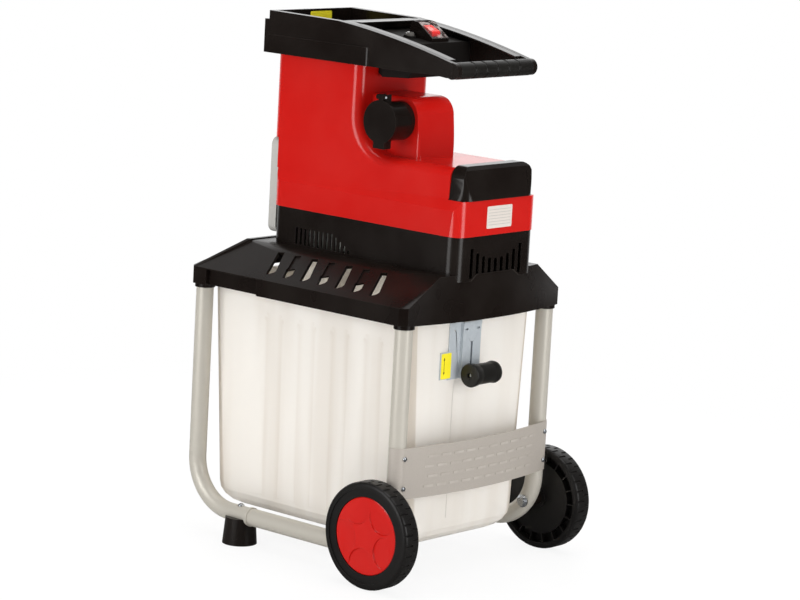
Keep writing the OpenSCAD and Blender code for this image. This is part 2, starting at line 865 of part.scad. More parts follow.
// Closed form of the box, drawn in by an inset.
module box_form(inset, top) {
  rb = box_bottom_r - inset;
  steps = 5;
  hull() {
    along_z(top - cut, top) box_plan(inset, 0, box_corner_r - inset);
    for (k = [0 : steps]) {
      a = 90 * k / steps;
      along_z(box_z + inset + rb * (1 - cos(a)), box_z + inset + rb * (1 - cos(a)) + 0.1)
        box_plan(inset + rb * (1 - sin(a)), 1, max(box_corner_r * 1.6 - inset, 3));
    }
  }
}

// Plan of the box drawn in by an inset; at lean 1 it is the plan at the bottom.
module box_plan(inset, lean, r) {
  x0 = box_front_x + lean * box_front_lean + inset;
  w = box_half_w - lean * box_side_lean - inset;
  rounded_rect(x0, box_rear_x - inset, -w, w, r, $fn = hull_fn);
}

// Round bars with round ends that press the flutes into the left side; they lean with the wall.
module flutes(grow) {
  lean_angle = atan2(box_side_lean, box_top_z - box_z);
  for (k = [-1.5 : 1.5])
    translate([flute_x + k * flute_pitch, -box_half_w + flute_depth, box_top_z - 64])
      rotate([lean_angle, 0, 0]) translate([0, -flute_r, 0]) {
        translate([0, 0, -box_top_z]) cylinder(h = box_top_z, r = flute_r + grow, $fn = 96);
        sphere(flute_r + grow, $fn = 96);
      }
}

module catch_box() {
  lip_half = 70;
  color("#f0e8dc") difference() {
    union() {
      difference() {
        box_form(0, box_top_z);
        for (side = [-1, 1]) on_side(side) flutes(0);
      }
      along_z(box_top_z - rim_t_box, box_top_z) rounded_rect(box_front_x - rim_w, box_rear_x,
        -box_half_w - rim_w, box_half_w + rim_w, box_corner_r);
      block(box_front_x - rim_w, box_front_x - rim_w + 3, -lip_half, lip_half, box_top_z - 26, box_top_z - 1);
    }
    difference() {
      box_form(box_wall, box_top_z + cut);
      for (side = [-1, 1]) on_side(side) flutes(box_wall);
    }
  }
}

// Box lock

module lock_bracket() {
  face_x = channel_x - bracket_t;
  left = lock_y - channel_half_w;
  right = lock_y + channel_half_w;
  top = bracket_z + bracket_h;
  color("#a4aeb8") difference() {
    union() {
      along_z(bracket_z, top) polygon([
        [box_rear_x, left - flange_left], [box_rear_x + bracket_t, left - flange_left],
        [box_rear_x + bracket_t, left], [face_x, left],
        [face_x, right], [box_rear_x + bracket_t, right],
        [box_rear_x + bracket_t, right + flange_right], [box_rear_x, right + flange_right],
        [box_rear_x, right - bracket_t], [face_x - bracket_t, right - bracket_t],
        [face_x - bracket_t, left + bracket_t], [box_rear_x, left + bracket_t]
      ]);
      block(box_rear_x, box_rear_x + bracket_t, left - flange_left - tab_len, left - flange_left + cut, bracket_z + 2,
        bracket_z + 2 + tab_h);
      block(face_x - bracket_t, face_x + 1, left, right, top - rivet_drop / 2, top);
    }
    along_x(face_x - channel_depth, channel_x + cut) rounded_rect(lock_y - slot_lock_w / 2, lock_y + slot_lock_w / 2,
      grip_z - slot_lock_w / 2, grip_z + lock_travel + slot_lock_w / 2, slot_lock_w / 2 - 0.01);
    for (y = [left + 8, right - 8])
      block(face_x - 2 * bracket_t, channel_x + cut, y - 4, y + 4, top - rivet_drop, top - rivet_drop + 3);
    rod_x(box_rear_x - cut, channel_x, left - flange_left / 2, top - rivet_drop, rivet_d);
  }
}

module lock_slider() {
  back_x = box_rear_x + 1.2;
  half = channel_half_w - bracket_t - slide_gap;
  color("#8d959c") {
    block(back_x, back_x + slider_t, lock_y - half, lock_y + half, bracket_z + 2, bracket_z + 2 + slider_h);
    rod_x(back_x + 1, grip_x - grip_d / 4, lock_y, grip_z, stud_d);
  }
}

// Waisted grip across the end of the slider's stud, with a drooping left end.
module lock_grip() {
  waist_r = grip_d / 2 - 2.5;
  half = grip_len / 2;
  color("#1a1715") difference() {
    union() {
      translate([grip_x, lock_y - half, grip_z]) rotate([-90, 0, 0]) rotate_extrude() polygon([
        [0, 0], [grip_d / 2 - 3, 0], [grip_d / 2 - 0.8, 0.8], [grip_d / 2, 3], [grip_d / 2 - 0.6, 10],
        [waist_r, 20], [waist_r, grip_len - 16], [grip_d / 2 - 1, grip_len - 6],
        [grip_d / 2 - 2, grip_len - 1.5], [grip_d / 2 - 5, grip_len], [0, grip_len]
      ]);
      rod_x(channel_x + slide_gap, grip_x, lock_y, grip_z, 17);
    }
    rod_x(channel_x - cut, grip_x - grip_d / 4 + push_gap, lock_y, grip_z, stud_d + push_gap);
    rod_y(lock_y - half - cut, lock_y - half + 4, grip_x, grip_z, 9);
  }
}

// Motor housings

module base_housing() {
  rear_slots = 9;
  side_slots = 13;
  color("#1a1715") difference() {
    along_z(seat_z, seam_z) base_plan(0);
    along_z(seat_z + housing_wall, seam_z + cut) base_plan(-housing_wall);
    block(outlet_front_x, outlet_rear_x, -outlet_half_w, outlet_half_w, seat_z - cut, seat_z + 2 * housing_wall);
    for (k = [0 : rear_slots - 1]) {
      u = k / (rear_slots - 1) * 2 - 1;
      y = u * 62;
      block(base_rear_x - 2 * housing_wall, base_rear_x + cut, y - 4, y + 4, seat_z + housing_wall + 1,
        deck_z + 23 + 20 * u * u);
    }
    for (side = [-1, 1]) on_side(side) for (k = [0 : side_slots - 1]) {
      x = -126 + k * 10;
      top = min(deck_z + 31, deck_z + 31 - (x + 44) * 0.6);
      block(x - 2.5, x + 2.5, -base_half_w - cut, -base_half_w + 2 * housing_wall, deck_z + 3, top);
    }
    rod_y(base_half_w - 2 * housing_wall, base_half_w + cut, drum_mid_x, drum_z - screw_drop, screw_d + 5);
  }
}

// Cross section of the red body, from the seam over the shoulder to the rounded top.
module body_section(inset) {
  w0 = base_half_w - inset;
  w1 = column_half_w - inset;
  top = body_top_z - inset;
  r = column_r - inset;
  polygon([
    [-w0, seam_z], [w0, seam_z], [w0 - 1, shoulder_z - shoulder_drop], [w1, shoulder_z],
    [w1, top - r], [-w1, top - r], [-w1, shoulder_z], [-w0 + 1, shoulder_z - shoulder_drop]
  ]);
  translate([-w1 + r, top - 2 * r]) square([2 * (w1 - r), 2 * r]);
  for (y = [-w1 + r, w1 - r]) translate([y, top - r]) circle(r);
}

module column_plan(inset) {
  rounded_rect(column_front_x + inset, column_rear_x - inset, -column_half_w + inset,
    column_half_w - inset, column_r - inset);
}

// Hollow quarter between the column and the red body, with the same rounded edges.
module column_fillet(inset) {
  w = column_half_w - inset;
  r = column_r - inset;
  depth = fillet_r * 0.6;
  translate([fillet_x, 0, fillet_z]) rotate([90, 0, 0]) rotate([0, 0, 180])
    rotate_extrude(angle = 90) translate([fillet_r + inset, 0]) {
      translate([0, -w + r]) square([depth, 2 * (w - r)]);
      translate([r, -w]) square([depth - r, 2 * w]);
      for (y = [-w + r, w - r]) translate([r, y]) circle(r);
    }
}

// Arch-topped bump that the inlet sits in.
module inlet_bump(inset) {
  x0 = column_rear_x - 20;
  x1 = bump_rear_x - inset;
  low = body_top_z - 20;
  top = bump_top_z - inset;
  near = -bump_face_y + inset;
  far = -bump_face_y + bump_w - inset;
  r = bump_edge_r - inset;
  intersection() {
    along_y(near, far) {
      polygon([[x0, low], [x1, low], [x1, body_top_z], [x1 - bump_slant, top - bump_r], [x0, top - bump_r]]);
      translate([x0, top - bump_r - cut]) square([x1 - bump_slant - bump_r - x0, bump_r + cut]);
      translate([x1 - bump_slant - bump_r, top - bump_r]) circle(bump_r);
    }
    along_z(low, top) rounded_rect(x0 - 20, x1, near, far, r);
    along_x(x0, x1) rounded_rect(near, far, low - 20, top, r);
  }
}

module red_form(inset) {
  intersection() {
    along_x(body_front_x + inset, band_rear_x - inset) body_section(inset);
    along_z(seam_z - cut, body_top_z + cut) rounded_rect(body_front_x + inset, band_rear_x - inset,
      -base_half_w + inset, base_half_w - inset, base_corner_r - inset);
  }
  along_z(body_top_z + 4 + inset, hopper_z + 6) column_plan(inset);
  along_z(shoulder_z, body_top_z + 5 + inset) intersection() {
    column_plan(inset);
    translate([body_front_x + inset, -base_half_w]) square([2 * base_half_w, 2 * base_half_w]);
  }
  column_fillet(inset);
  inlet_bump(inset);
}

module upper_housing() {
  color("#c81e18") difference() {
    red_form(0);
    red_form(housing_wall);
    block(cap_front_x, band_rear_x + cut, -base_half_w, base_half_w, cap_z, body_top_z + cut);
    block(cap_front_x - 20, band_rear_x - housing_wall, -cap_half_w + 8, cap_half_w - 8, seam_z + 8, body_top_z - 8);
    along_z(seam_z - 2 * cut, seam_z + 2 * cut) base_plan(-housing_wall);
    along_z(hopper_z, hopper_z + 8) column_plan(housing_wall);
    rod_y(-bump_face_y - cut, -bump_face_y + 2 * housing_wall, inlet_x, inlet_z, inlet_d - 8);
  }
}

// Black trim over the motor's end, with a sloped rear face.
module motor_cap() {
  x0 = cap_front_x + slide_gap;
  z0 = cap_z + slide_gap;
  top = body_top_z + 4;
  r = 20;
  color("#1d1a18") difference() {
    intersection() {
      along_y(-column_half_w, column_half_w) polygon([
        [x0, z0], [band_rear_x + 3, z0], [band_rear_x - 8, top - 6], [band_rear_x - 14, top], [x0, top]
      ]);
      along_x(x0, band_rear_x + 3) {
        polygon([[-column_half_w, z0], [column_half_w, z0], [column_half_w - 3, top - r],
          [-column_half_w + 3, top - r]]);
        translate([-column_half_w + 3 + r, top - 2 * r]) square([2 * (column_half_w - 3 - r), 2 * r]);
        for (y = [-column_half_w + 3 + r, column_half_w - 3 - r]) translate([y, top - r]) circle(r);
      }
      along_z(z0, top) rounded_rect(x0 - 40, band_rear_x + 3, -column_half_w, column_half_w, base_corner_r);
    }
    block(x0 - cut, band_rear_x - 18, -cap_half_w + 8, cap_half_w - 8, z0 - cut, top - 5);
    block(band_rear_x - 16, band_rear_x + 4, 71, 73, shoulder_z + 16, shoulder_z + 38);
  }
}

module front_cover() {
  half = column_half_w - 2;
  r = 14;
  rib_count = 6;
  color("#b9b7b2") difference() {
    along_x(column_front_x - 2, body_front_x - push_gap) rounded_rect(-half, half, deck_z + 12,
      body_top_z + 3, r);
    along_x(column_front_x + 2, body_front_x) rounded_rect(-half + 4, half - 4, deck_z + 16, body_top_z - 1, r - 4);
    for (k = [0 : rib_count - 1]) along_x(column_front_x - 2 - cut, column_front_x - 1)
      translate([-half + 22, deck_z + 40 + k * 18]) square([2 * half - 44, 5]);
  }
}

// Hopper and handle

// Side view of the hopper and handle: a level rim that falls in a soft curve to the grip.
module rim_side() {
  steps = 8;
  polygon(concat(
    [[hopper_front_x + lip_inset, hopper_z], [hopper_front_x + lip_inset, hopper_top_z]],
    [for (k = [0 : steps]) let (t = k / steps, x = cross_bar_x + (handle_x - cross_bar_x) * t)
      [x, hopper_top_z - 3 - (hopper_top_z - 3 - rim_low_z) * (0.55 * t + 0.45 * t * t)]],
    [[handle_x, handle_z - handle_d / 2 + 1], [handle_x - 46, hopper_z + 2], [handle_x - 80, hopper_z]]
  ));
}

// Plan of the left side wall, drawing in towards the grip.
module rim_plan() {
  taper = 4;
  polygon([
    [hopper_front_x, -hopper_half_w + side_step], [hopper_front_x + 40, -hopper_half_w + side_step],
    [handle_x + handle_d, -hopper_half_w + taper], [handle_x + handle_d, -hopper_half_w + rim_t + cut],
    [hopper_front_x, -hopper_half_w + rim_t + cut]
  ]);
}

module hopper_top() {
  inner_w = hopper_half_w - rim_t;
  color("#1a1715") difference() {
    union() {
      for (side = [-1, 1]) on_side(side) intersection() {
        along_y(-hopper_half_w - cut, -inner_w) rim_side();
        along_z(hopper_z - cut, hopper_top_z + cut) rim_plan();
      }
      along_z(hopper_z, hopper_z + 31) difference() {
        rounded_rect(hopper_front_x, band_rear, -hopper_half_w, hopper_half_w, 9);
        rounded_rect(hopper_front_x + collar_wall, band_rear + 20, -hopper_half_w + collar_wall,
          hopper_half_w - collar_wall, 5);
      }
      block(hopper_front_x, hopper_front_x + lip_inset + cut, -hopper_half_w + side_step, hopper_half_w - side_step,
        hopper_z, band_top_z);
      block(hopper_front_x + lip_inset, hopper_front_x + lip_inset + 6, -hopper_half_w + rim_t, hopper_half_w - rim_t,
        hopper_z, hopper_top_z);
      block(cross_bar_x - 6, cross_bar_x + 6, -inner_w - 1, inner_w + 1, hopper_z + 3, hopper_top_z - 4);
      along_z(hopper_z, hopper_z + 4) rounded_rect(hopper_front_x, band_rear, -hopper_half_w, hopper_half_w, 9);
      rod_y(-hopper_half_w + 5, hopper_half_w - 5, handle_x, handle_z, handle_d - 10);
      for (side = [-1, 1]) on_side(side)
        rod_y(-hopper_half_w + 4, -inner_w, handle_x, handle_z, handle_d - 0.6);
    }
    along_z(hopper_z - cut, hopper_z + 7) column_plan(-push_gap);
    along_z(hopper_z, hopper_top_z) rounded_rect(hopper_front_x + lip_inset + 6, cross_bar_x - 6, -inner_w + 0.5,
      inner_w - 0.5, 6);
    block(column_rear_x + 0.5, handle_x, -panel_half_w, panel_half_w, hopper_z - cut, hopper_z + 8);
  }
}

// Soft sleeve round the grip bar between the side walls, with rings of finger grooves.
module grip_sleeve() {
  half = hopper_half_w - rim_t - push_gap;
  core = handle_d - 10 + push_gap;
  pitch = 2 * half / (groove_count + 1.5);
  color("#201d1b") difference() {
    rod_y(-half, half, handle_x, handle_z, handle_d);
    rod_y(-half - cut, half + cut, handle_x, handle_z, core);
    for (k = [0 : groove_count - 1]) translate([handle_x, (k - (groove_count - 1) / 2) * pitch, handle_z])
      rotate([90, 0, 0]) rotate_extrude() translate([handle_d / 2 + 1, 0]) circle(3);
  }
}

// Box between the handle's side walls; its sloped lid is the control panel.
module control_box() {
  x0 = lid_front_x;
  lid_rear_z = lid_front_z - lid_fall;
  inner_z = lid_front_z - lid_fall * (column_rear_x + 1 - x0) / (panel_rear_x - x0) - lid_t / 2;
  half = 46;
  color("#1c1a19") difference() {
    union() {
      along_y(-panel_half_w, panel_half_w) polygon([
        [x0, lid_front_z - lid_t], [x0, lid_front_z], [panel_rear_x, lid_rear_z], [panel_rear_x, lid_rear_z - lid_t]
      ]);
      along_y(-panel_half_w, panel_half_w) polygon([
        [panel_rear_x - 4, hopper_z + 1], [panel_rear_x, hopper_z + 1], [panel_rear_x, lid_rear_z - 2],
        [panel_rear_x - 4, lid_rear_z - 2]
      ]);
      on_panel(reset_x, reset_y) rod_z(-cut, 4, 0, 0, reset_d + 6);
      along_y(-half, half) polygon([
        [column_rear_x + 1, inner_z], [panel_rear_x - 2, lid_rear_z - lid_t / 2], [panel_rear_x - 2, hopper_z + 2],
        [panel_rear_x - 16, hopper_z - 18], [column_rear_x + 10, hopper_z - 22], [column_rear_x + 1, hopper_z - 16]
      ]);
    }
    along_y(-half + 3, half - 3) polygon([
      [column_rear_x + 4, inner_z - 4], [panel_rear_x - 6, lid_rear_z - 6], [panel_rear_x - 6, hopper_z + 3],
      [panel_rear_x - 18, hopper_z - 15], [column_rear_x + 11, hopper_z - 19], [column_rear_x + 4, hopper_z - 14]
    ]);
    on_panel(switch_x, switch_y) block(-well_l / 2, well_l / 2, -well_w / 2, well_w / 2, -14, cut);
    on_panel(reset_x, reset_y) rod_z(-14, 4 + cut, 0, 0, reset_d + 1);
    for (k = [-3 : 3]) block(column_rear_x + 14, panel_rear_x - 20, k * 12 - 2, k * 12 + 2, hopper_z - 30, hopper_z - 12);
  }
}

// Frame on the control panel: origin on the lid, z square to it.
module on_panel(x, y) {
  fall = lid_fall / (panel_rear_x - lid_front_x);
  translate([x, y, lid_front_z - (x - lid_front_x) * fall]) rotate([0, atan(fall), 0]) children();
}

module switch_frame() {
  half = switch_len / 2;
  wide = switch_wide / 2;
  tall = 27;
  wall = 3;
  color("#1a1715") on_panel(switch_x, switch_y) difference() {
    along_y(-wide, wide) polygon([
      [-half, 0], [half, 0], [half, 6], [-half * 0.4, tall], [-half * 0.8, tall], [-half, tall - 5]
    ]);
    along_y(-wide + wall, wide - wall) polygon([
      [-half + 2 * wall, tall + cut], [-half + 2 * wall, tall - 8], [-half * 0.3, tall - 8], [half - wall, 4],
      [half - wall, tall + cut]
    ]);
    block(-well_l / 2, well_l / 2, -well_w / 2, well_w / 2, -cut, tall + cut);
    rod_y(-well_w / 2 - 5, well_w / 2 + 5, 0, rocker_z, rocker_pin_d + 2 * run_play);
  }
}

// Rocker on a cross axis in the switch frame.
module power_switch() {
  w = well_w / 2 - 2 * slide_gap;
  half = well_l / 2 - 1.5 * slide_gap;
  color("#d3221a") on_panel(switch_x, switch_y) {
    along_y(-w, w) intersection() {
      translate([0, rocker_z]) circle(half);
      polygon([[-half, -4], [half, -4], [half, 15], [1, 19], [-half, 25]]);
    }
    rod_y(-well_w / 2 - 4.5, well_w / 2 + 4.5, 0, rocker_z, rocker_pin_d);
  }
}

module reset_button() {
  color("#c9c4bc") on_panel(reset_x, reset_y) {
    rod_z(-8, 7, 0, 0, reset_d);
    rod_z(7 - cut, 9, 0, 0, reset_d - 4);
  }
}

// Inlet

module power_inlet() {
  back_y = bump_face_y + 10;
  color("#161414") difference() {
    union() {
      rod_y(-inlet_mouth_y, -bump_face_y - push_gap, inlet_x, inlet_z, inlet_d);
      rod_y(-bump_face_y - push_gap - cut, -bump_face_y + 12, inlet_x, inlet_z, inlet_d - 9);
      for (x = [inlet_x - 9, inlet_x + 4.5]) {
        rod_x(x, x + 4.5, -hinge_y, hinge_z, 2 * lug_r);
        block(x, x + 4.5, -inlet_mouth_y, -inlet_mouth_y + 12, inlet_z + inlet_d / 2 - 4, hinge_z + lug_r);
      }
      block(inlet_x - 11, inlet_x + 11, -inlet_mouth_y + slide_gap, -inlet_mouth_y + 14, inlet_z - inlet_d / 2 - 12,
        inlet_z - inlet_d / 2 + 4);
    }
    rod_y(-inlet_mouth_y - cut, -back_y, inlet_x, inlet_z, inlet_d - 10);
    rod_x(inlet_x - 20, inlet_x + 20, -hinge_y, hinge_z, 4 + push_gap);
    for (p = pin_places) rod_y(-back_y - cut, -back_y + 6, inlet_x + p[0], inlet_z + p[1], pin_d + push_gap);
  }
}

module inlet_pins() {
  back_y = bump_face_y + 10;
  color("#c8b36a") for (p = pin_places)
    rod_y(-inlet_mouth_y + 12, -back_y + 6, inlet_x + p[0], inlet_z + p[1], pin_d);
}

module inlet_cover() {
  inner_y = inlet_mouth_y + slide_gap;
  color("#1c1a19") difference() {
    union() {
      rod_y(-inner_y - flap_t, -inner_y, inlet_x, inlet_z, flap_d);
      rod_x(inlet_x - 4.1, inlet_x + 4.1, -hinge_y, hinge_z, 2 * lug_r);
      block(inlet_x - 4.1, inlet_x + 4.1, -inner_y - flap_t, -inner_y, inlet_z + flap_d / 2 - 8, hinge_z);
      block(inlet_x - 12, inlet_x + 12, -inner_y - flap_t, -inner_y, inlet_z - flap_d / 2 - 9, inlet_z - flap_d / 2 + 8);
      rod_y(-inner_y - 0.5, -inner_y + 4, inlet_x, inlet_z, inlet_d - 10 - 4 * slide_gap);
    }
    rod_x(inlet_x - 20, inlet_x + 20, -hinge_y, hinge_z, 4 + 2 * run_play);
    rod_y(-inner_y + 2, -inner_y + 8, inlet_x, inlet_z, inlet_d - 16);
  }
}

module inlet_hinge_pin() {
  color("#b8b8b4") rod_x(inlet_x - 9.5, inlet_x + 9.5, -hinge_y, hinge_z, 4);
}

// Feed and cutter

// Funnel from the hopper's mouth down to the roller.
module chute_form(inset) {
  top_x0 = column_front_x + housing_wall + 1 + inset;
  top_x1 = column_rear_x - housing_wall - 1 - inset;
  top_w = column_half_w - housing_wall - 1 - inset;
  throat = 46 - inset;
  throat_z = drum_z + drum_d / 2 + 14;
  hull() {
    along_z(hopper_z - 30, hopper_z - 2 + (inset > 0 ? 3 : 0)) rounded_rect(top_x0, top_x1, -top_w, top_w, 12, $fn = hull_fn);
    along_z(throat_z - (inset > 0 ? cut : 0), throat_z + 12)
      rounded_rect(drum_mid_x - throat, drum_mid_x + throat, -26 + inset, 26 - inset, 6, $fn = hull_fn);
  }
}

module feed_chute() {
  color("#201e1d") difference() {
    chute_form(0);
    chute_form(housing_wall);
  }
}

// Cast frame round the roller: front bearing wall and two side walls, open above and below.
module cutter_housing() {
  front_x = drum_mid_x - drum_len / 2 - 8;
  top = drum_z + drum_d / 2 + 12;
  low = seat_z + housing_wall;
  color("#9a9a98") difference() {
    union() {
      block(front_x - plate_t, front_x, -cutter_half_w, cutter_half_w, low, top);
      for (y = [-cutter_half_w, cutter_half_w - cutter_wall])
        block(front_x - cut, case_front_x, y, y + cutter_wall, low, top);
    }
    rod_x(front_x - plate_t - cut, front_x + cut, 0, drum_z, shaft_d + 2 * bearing_wall + push_gap);
    rod_y(cutter_half_w - 2 * cutter_wall, cutter_half_w + cut, drum_mid_x, drum_z - screw_drop, screw_d + 2 * run_play);
  }
}

// Toothed roller: a core with rows of wedge teeth, each row turned against the last.
module cutting_drum() {
  rows = 8;
  teeth = 6;
  core_r = drum_d / 2 - 9;
  x0 = drum_mid_x - drum_len / 2;
  row_w = drum_len / rows;
  color("#6e6e70") difference() {
    union() {
      rod_x(x0, x0 + drum_len, 0, drum_z, 2 * core_r);
      for (k = [0 : rows - 1]) translate([0, 0, drum_z]) rotate([k * 22.5, 0, 0])
        along_x(x0 + k * row_w + 1, x0 + (k + 1) * row_w - 1) polygon([
          for (t = [0 : teeth - 1]) for (p = [[0, core_r - 1], [0, drum_d / 2], [0.25, drum_d / 2 - 1.5], [0.6, core_r - 1]])
            let (a = (t + p[0]) * 360 / teeth) [p[1] * cos(a), p[1] * sin(a)]
        ]);
    }
    rod_x(x0 - cut, x0 + drum_len + cut, 0, drum_z, shaft_d + push_gap);
  }
}

module drum_shaft() {
  front_x = drum_mid_x - drum_len / 2 - 8;
  color("#a0a0a0") rod_x(front_x - plate_t + 2, coarse_x + coarse_w + 3, 0, drum_z, shaft_d);
}

// Spur gear about the X axis: straight-flanked teeth with play, a tooth at the given angle.
module spur_gear(x0, x1, y, z, teeth, mod, bore, tooth_angle) {
  pitch_r = teeth * mod / 2;
  step = 360 / teeth;
  translate([0, y, z]) rotate([tooth_angle, 0, 0]) difference() {
    along_x(x0, x1) polygon([
      for (k = [0 : teeth - 1]) for (p = [[-0.29, -1.25], [-0.1, tip_rise], [0.1, tip_rise], [0.29, -1.25]])
        let (a = (k + p[0]) * step, r = pitch_r + p[1] * mod) [r * cos(a), r * sin(a)]
    ]);
    rod_x(x0 - cut, x1 + cut, 0, 0, bore);
  }
}

module drum_gear() {
  color("#8f8f8a") spur_gear(coarse_x, coarse_x + coarse_w, 0, drum_z, drum_gear_teeth, coarse_module,
    shaft_d + push_gap, lay_angle);
}

module pressure_plate() {
  face_y = drum_d / 2 + plate_gap;
  teeth = 5;
  color("#b4b4b0") difference() {
    along_x(drum_mid_x - drum_len / 2 + 1, drum_mid_x + drum_len / 2 - 1) polygon(concat(
      [[face_y + plate_depth, drum_z - plate_half_h], [face_y + plate_depth, drum_z + plate_half_h],
        [face_y + 3, drum_z + plate_half_h]],
      [for (k = [0 : 2 * teeth]) [face_y + (k % 2) * 2, drum_z + plate_tooth_h * (1 - k / teeth)]],
      [[face_y + 3, drum_z - plate_half_h]]
    ));
    rod_y(face_y + plate_depth - 10, face_y + plate_depth + cut, drum_mid_x, drum_z - screw_drop, screw_d + 2 * run_play);
  }
}

module adjusting_screw() {
  plate_back = drum_d / 2 + plate_gap + plate_depth;
  color("#77777a") {
    rod_y(plate_back - 6, base_half_w - 8, drum_mid_x, drum_z - screw_drop, screw_d);
    difference() {
      rod_y(cutter_half_w + slide_gap, cutter_half_w + 6, drum_mid_x, drum_z - screw_drop, screw_d + 6);
      rod_y(cutter_half_w, cutter_half_w + 7, drum_mid_x, drum_z - screw_drop, screw_d - 0.5);
    }
  }
}

// Gear case: two plates on four posts with seats for the bearings.
module gear_case() {
  low = seat_z + housing_wall;
  seat = 2 * bearing_wall + push_gap;
  half = post_y + case_edge;
  color("#a8a8a6") difference() {
    union() {
      along_x(case_front_x + push_gap, case_front_x + plate_t) rounded_rect(-half, half, low, lay_z + case_rise, case_r);
      along_x(case_rear_x, case_rear_x + plate_t) rounded_rect(-half, half, low, lay_z + case_rise, case_r);
      for (p = [[-post_y, low + case_r], [post_y, low + case_r], [-post_y, lay_z + case_r], [post_y, drum_z + case_r]])
        rod_x(case_front_x + cut, case_rear_x + plate_t - cut, p[0], p[1], post_d);
    }
    rod_x(case_front_x - cut, case_front_x + plate_t + cut, 0, drum_z, shaft_d + seat);
    rod_x(case_front_x - cut, case_front_x + plate_t + cut, lay_y, lay_z, lay_d + seat);
    rod_x(case_rear_x - cut, case_rear_x + plate_t + cut, lay_y, lay_z, lay_d + seat);
    rod_x(case_rear_x - cut, case_rear_x + plate_t + cut, 0, motor_z, motor_shaft_d + seat);
  }
}

module lay_shaft() {
  color("#a0a0a0") rod_x(case_front_x + 4, case_rear_x + plate_t - 2, lay_y, lay_z, lay_d);
}

module lay_pinion() {
  color("#8f8f8a") spur_gear(coarse_x, coarse_x + coarse_w, lay_y, lay_z, lay_pinion_teeth, coarse_module,
    lay_d + push_gap, lay_angle + 180 + 180 / lay_pinion_teeth);
}

module lay_gear() {
  color("#8f8f8a") spur_gear(fine_x, fine_x + fine_w, lay_y, lay_z, lay_gear_teeth, fine_module,
    lay_d + push_gap, motor_angle);
}

module motor_pinion() {
  color("#8f8f8a") spur_gear(fine_x, fine_x + fine_w, 0, motor_z, motor_pinion_teeth, fine_module,
    motor_shaft_d + push_gap, motor_angle + 180 + 180 / motor_pinion_teeth);
}

// Motor can with both end bells, hollow round the rotor.
module motor_stator() {
  bore = rotor_d + 2 * slide_gap;
  seat = motor_shaft_d + 2 * bearing_wall + push_gap;
  color("#55585c") difference() {
    rod_x(motor_front_x + push_gap, motor_rear_x, 0, motor_z, motor_d);
    rod_x(motor_front_x + bell_t, motor_rear_x - bell_t - 2, 0, motor_z, bore);
    rod_x(motor_front_x - cut, motor_front_x + bell_t + cut, 0, motor_z, motor_shaft_d + 6);
    rod_x(motor_rear_x - bell_t - 3, motor_rear_x + cut, 0, motor_z, seat);
  }
}

module motor_rotor() {
  color("#9c9c98") {
    rod_x(motor_front_x + bell_t + 6, motor_rear_x - bell_t - 8, 0, motor_z, rotor_d);
    rod_x(fine_x - 2, fan_x + fan_w + 2, 0, motor_z, motor_shaft_d);
  }
}

module cooling_fan() {
  blades = 9;
  color("#33302e") translate([0, 0, motor_z]) difference() {
    union() {
      rod_x(fan_x, fan_x + 2, 0, 0, 2 * fan_r);
      rod_x(fan_x, fan_x + fan_w, 0, 0, motor_shaft_d + 12);
      for (k = [0 : blades - 1]) rotate([k * 360 / blades, 0, 0])
        block(fan_x + cut, fan_x + fan_w, -1.2, 1.2, motor_shaft_d / 2 + 4, fan_r - 1);
    }
    rod_x(fan_x - cut, fan_x + fan_w + cut, 0, 0, motor_shaft_d + push_gap);
  }
}

// Plain rings that stand for the ball bearings.
module bearing(x0, y, z, shaft) {
  difference() {
    rod_x(x0, x0 + bearing_w, y, z, shaft + 2 * bearing_wall);
    rod_x(x0 - cut, x0 + bearing_w + cut, y, z, shaft + 2 * run_play);
  }
}

module bearings() {
  front_x = drum_mid_x - drum_len / 2 - 8;
  inset = 3;
  color("#c4c4c2") {
    bearing(front_x - plate_t + inset, 0, drum_z, shaft_d);
    bearing(case_front_x + inset, 0, drum_z, shaft_d);
    bearing(case_front_x + inset, lay_y, lay_z, lay_d);
    bearing(case_rear_x + inset, lay_y, lay_z, lay_d);
    bearing(case_rear_x + inset, 0, motor_z, motor_shaft_d);
    bearing(motor_rear_x - bell_t - 1, 0, motor_z, motor_shaft_d);
  }
}

// Switch above the raised lock slider.
module interlock_switch() {
  x0 = box_rear_x + bracket_t - 3;
  color("#2b2b2e") block(x0 + 3, x0 + 10, lock_y - 14, lock_y + 14, seat_z - 23.9, seat_z - 12.1);
}

deck();
front_leg(-1);  // front_leg_left
front_leg(1);  // front_leg_right
rear_leg(-1);  // rear_leg_left
rear_leg(1);  // rear_leg_right
foot(-1);  // foot_left
foot(1);  // foot_right
foot_screws();
brace_panel();
panel_screws();
wheel(-1);  // wheel_left
wheel(1);  // wheel_right
hub_cap(-1);  // hub_cap_left
hub_cap(1);  // hub_cap_right
axle_bolt(-1);  // axle_bolt_left
axle_bolt(1);  // axle_bolt_right
axle_spacers();
axle_nuts();
catch_box();
lock_bracket();
lock_slider();
lock_grip();
base_housing();
upper_housing();
motor_cap();
front_cover();
hopper_top();
grip_sleeve();
control_box();
switch_frame();
power_switch();
reset_button();
power_inlet();
inlet_pins();
inlet_cover();
inlet_hinge_pin();
feed_chute();
cutter_housing();
cutting_drum();
drum_shaft();
drum_gear();
pressure_plate();
adjusting_screw();
gear_case();
lay_shaft();
lay_gear();
lay_pinion();
motor_stator();
motor_rotor();
motor_pinion();
cooling_fan();
bearings();
interlock_switch();
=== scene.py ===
"""Looks of the garden shredder: finishes, fasteners, labels and a studio round the CAD part."""
import json
import logging
import math
from dataclasses import dataclass, fields, replace
from enum import Enum
from typing import Sequence

import bmesh
import bpy
from mathutils import Matrix, Vector


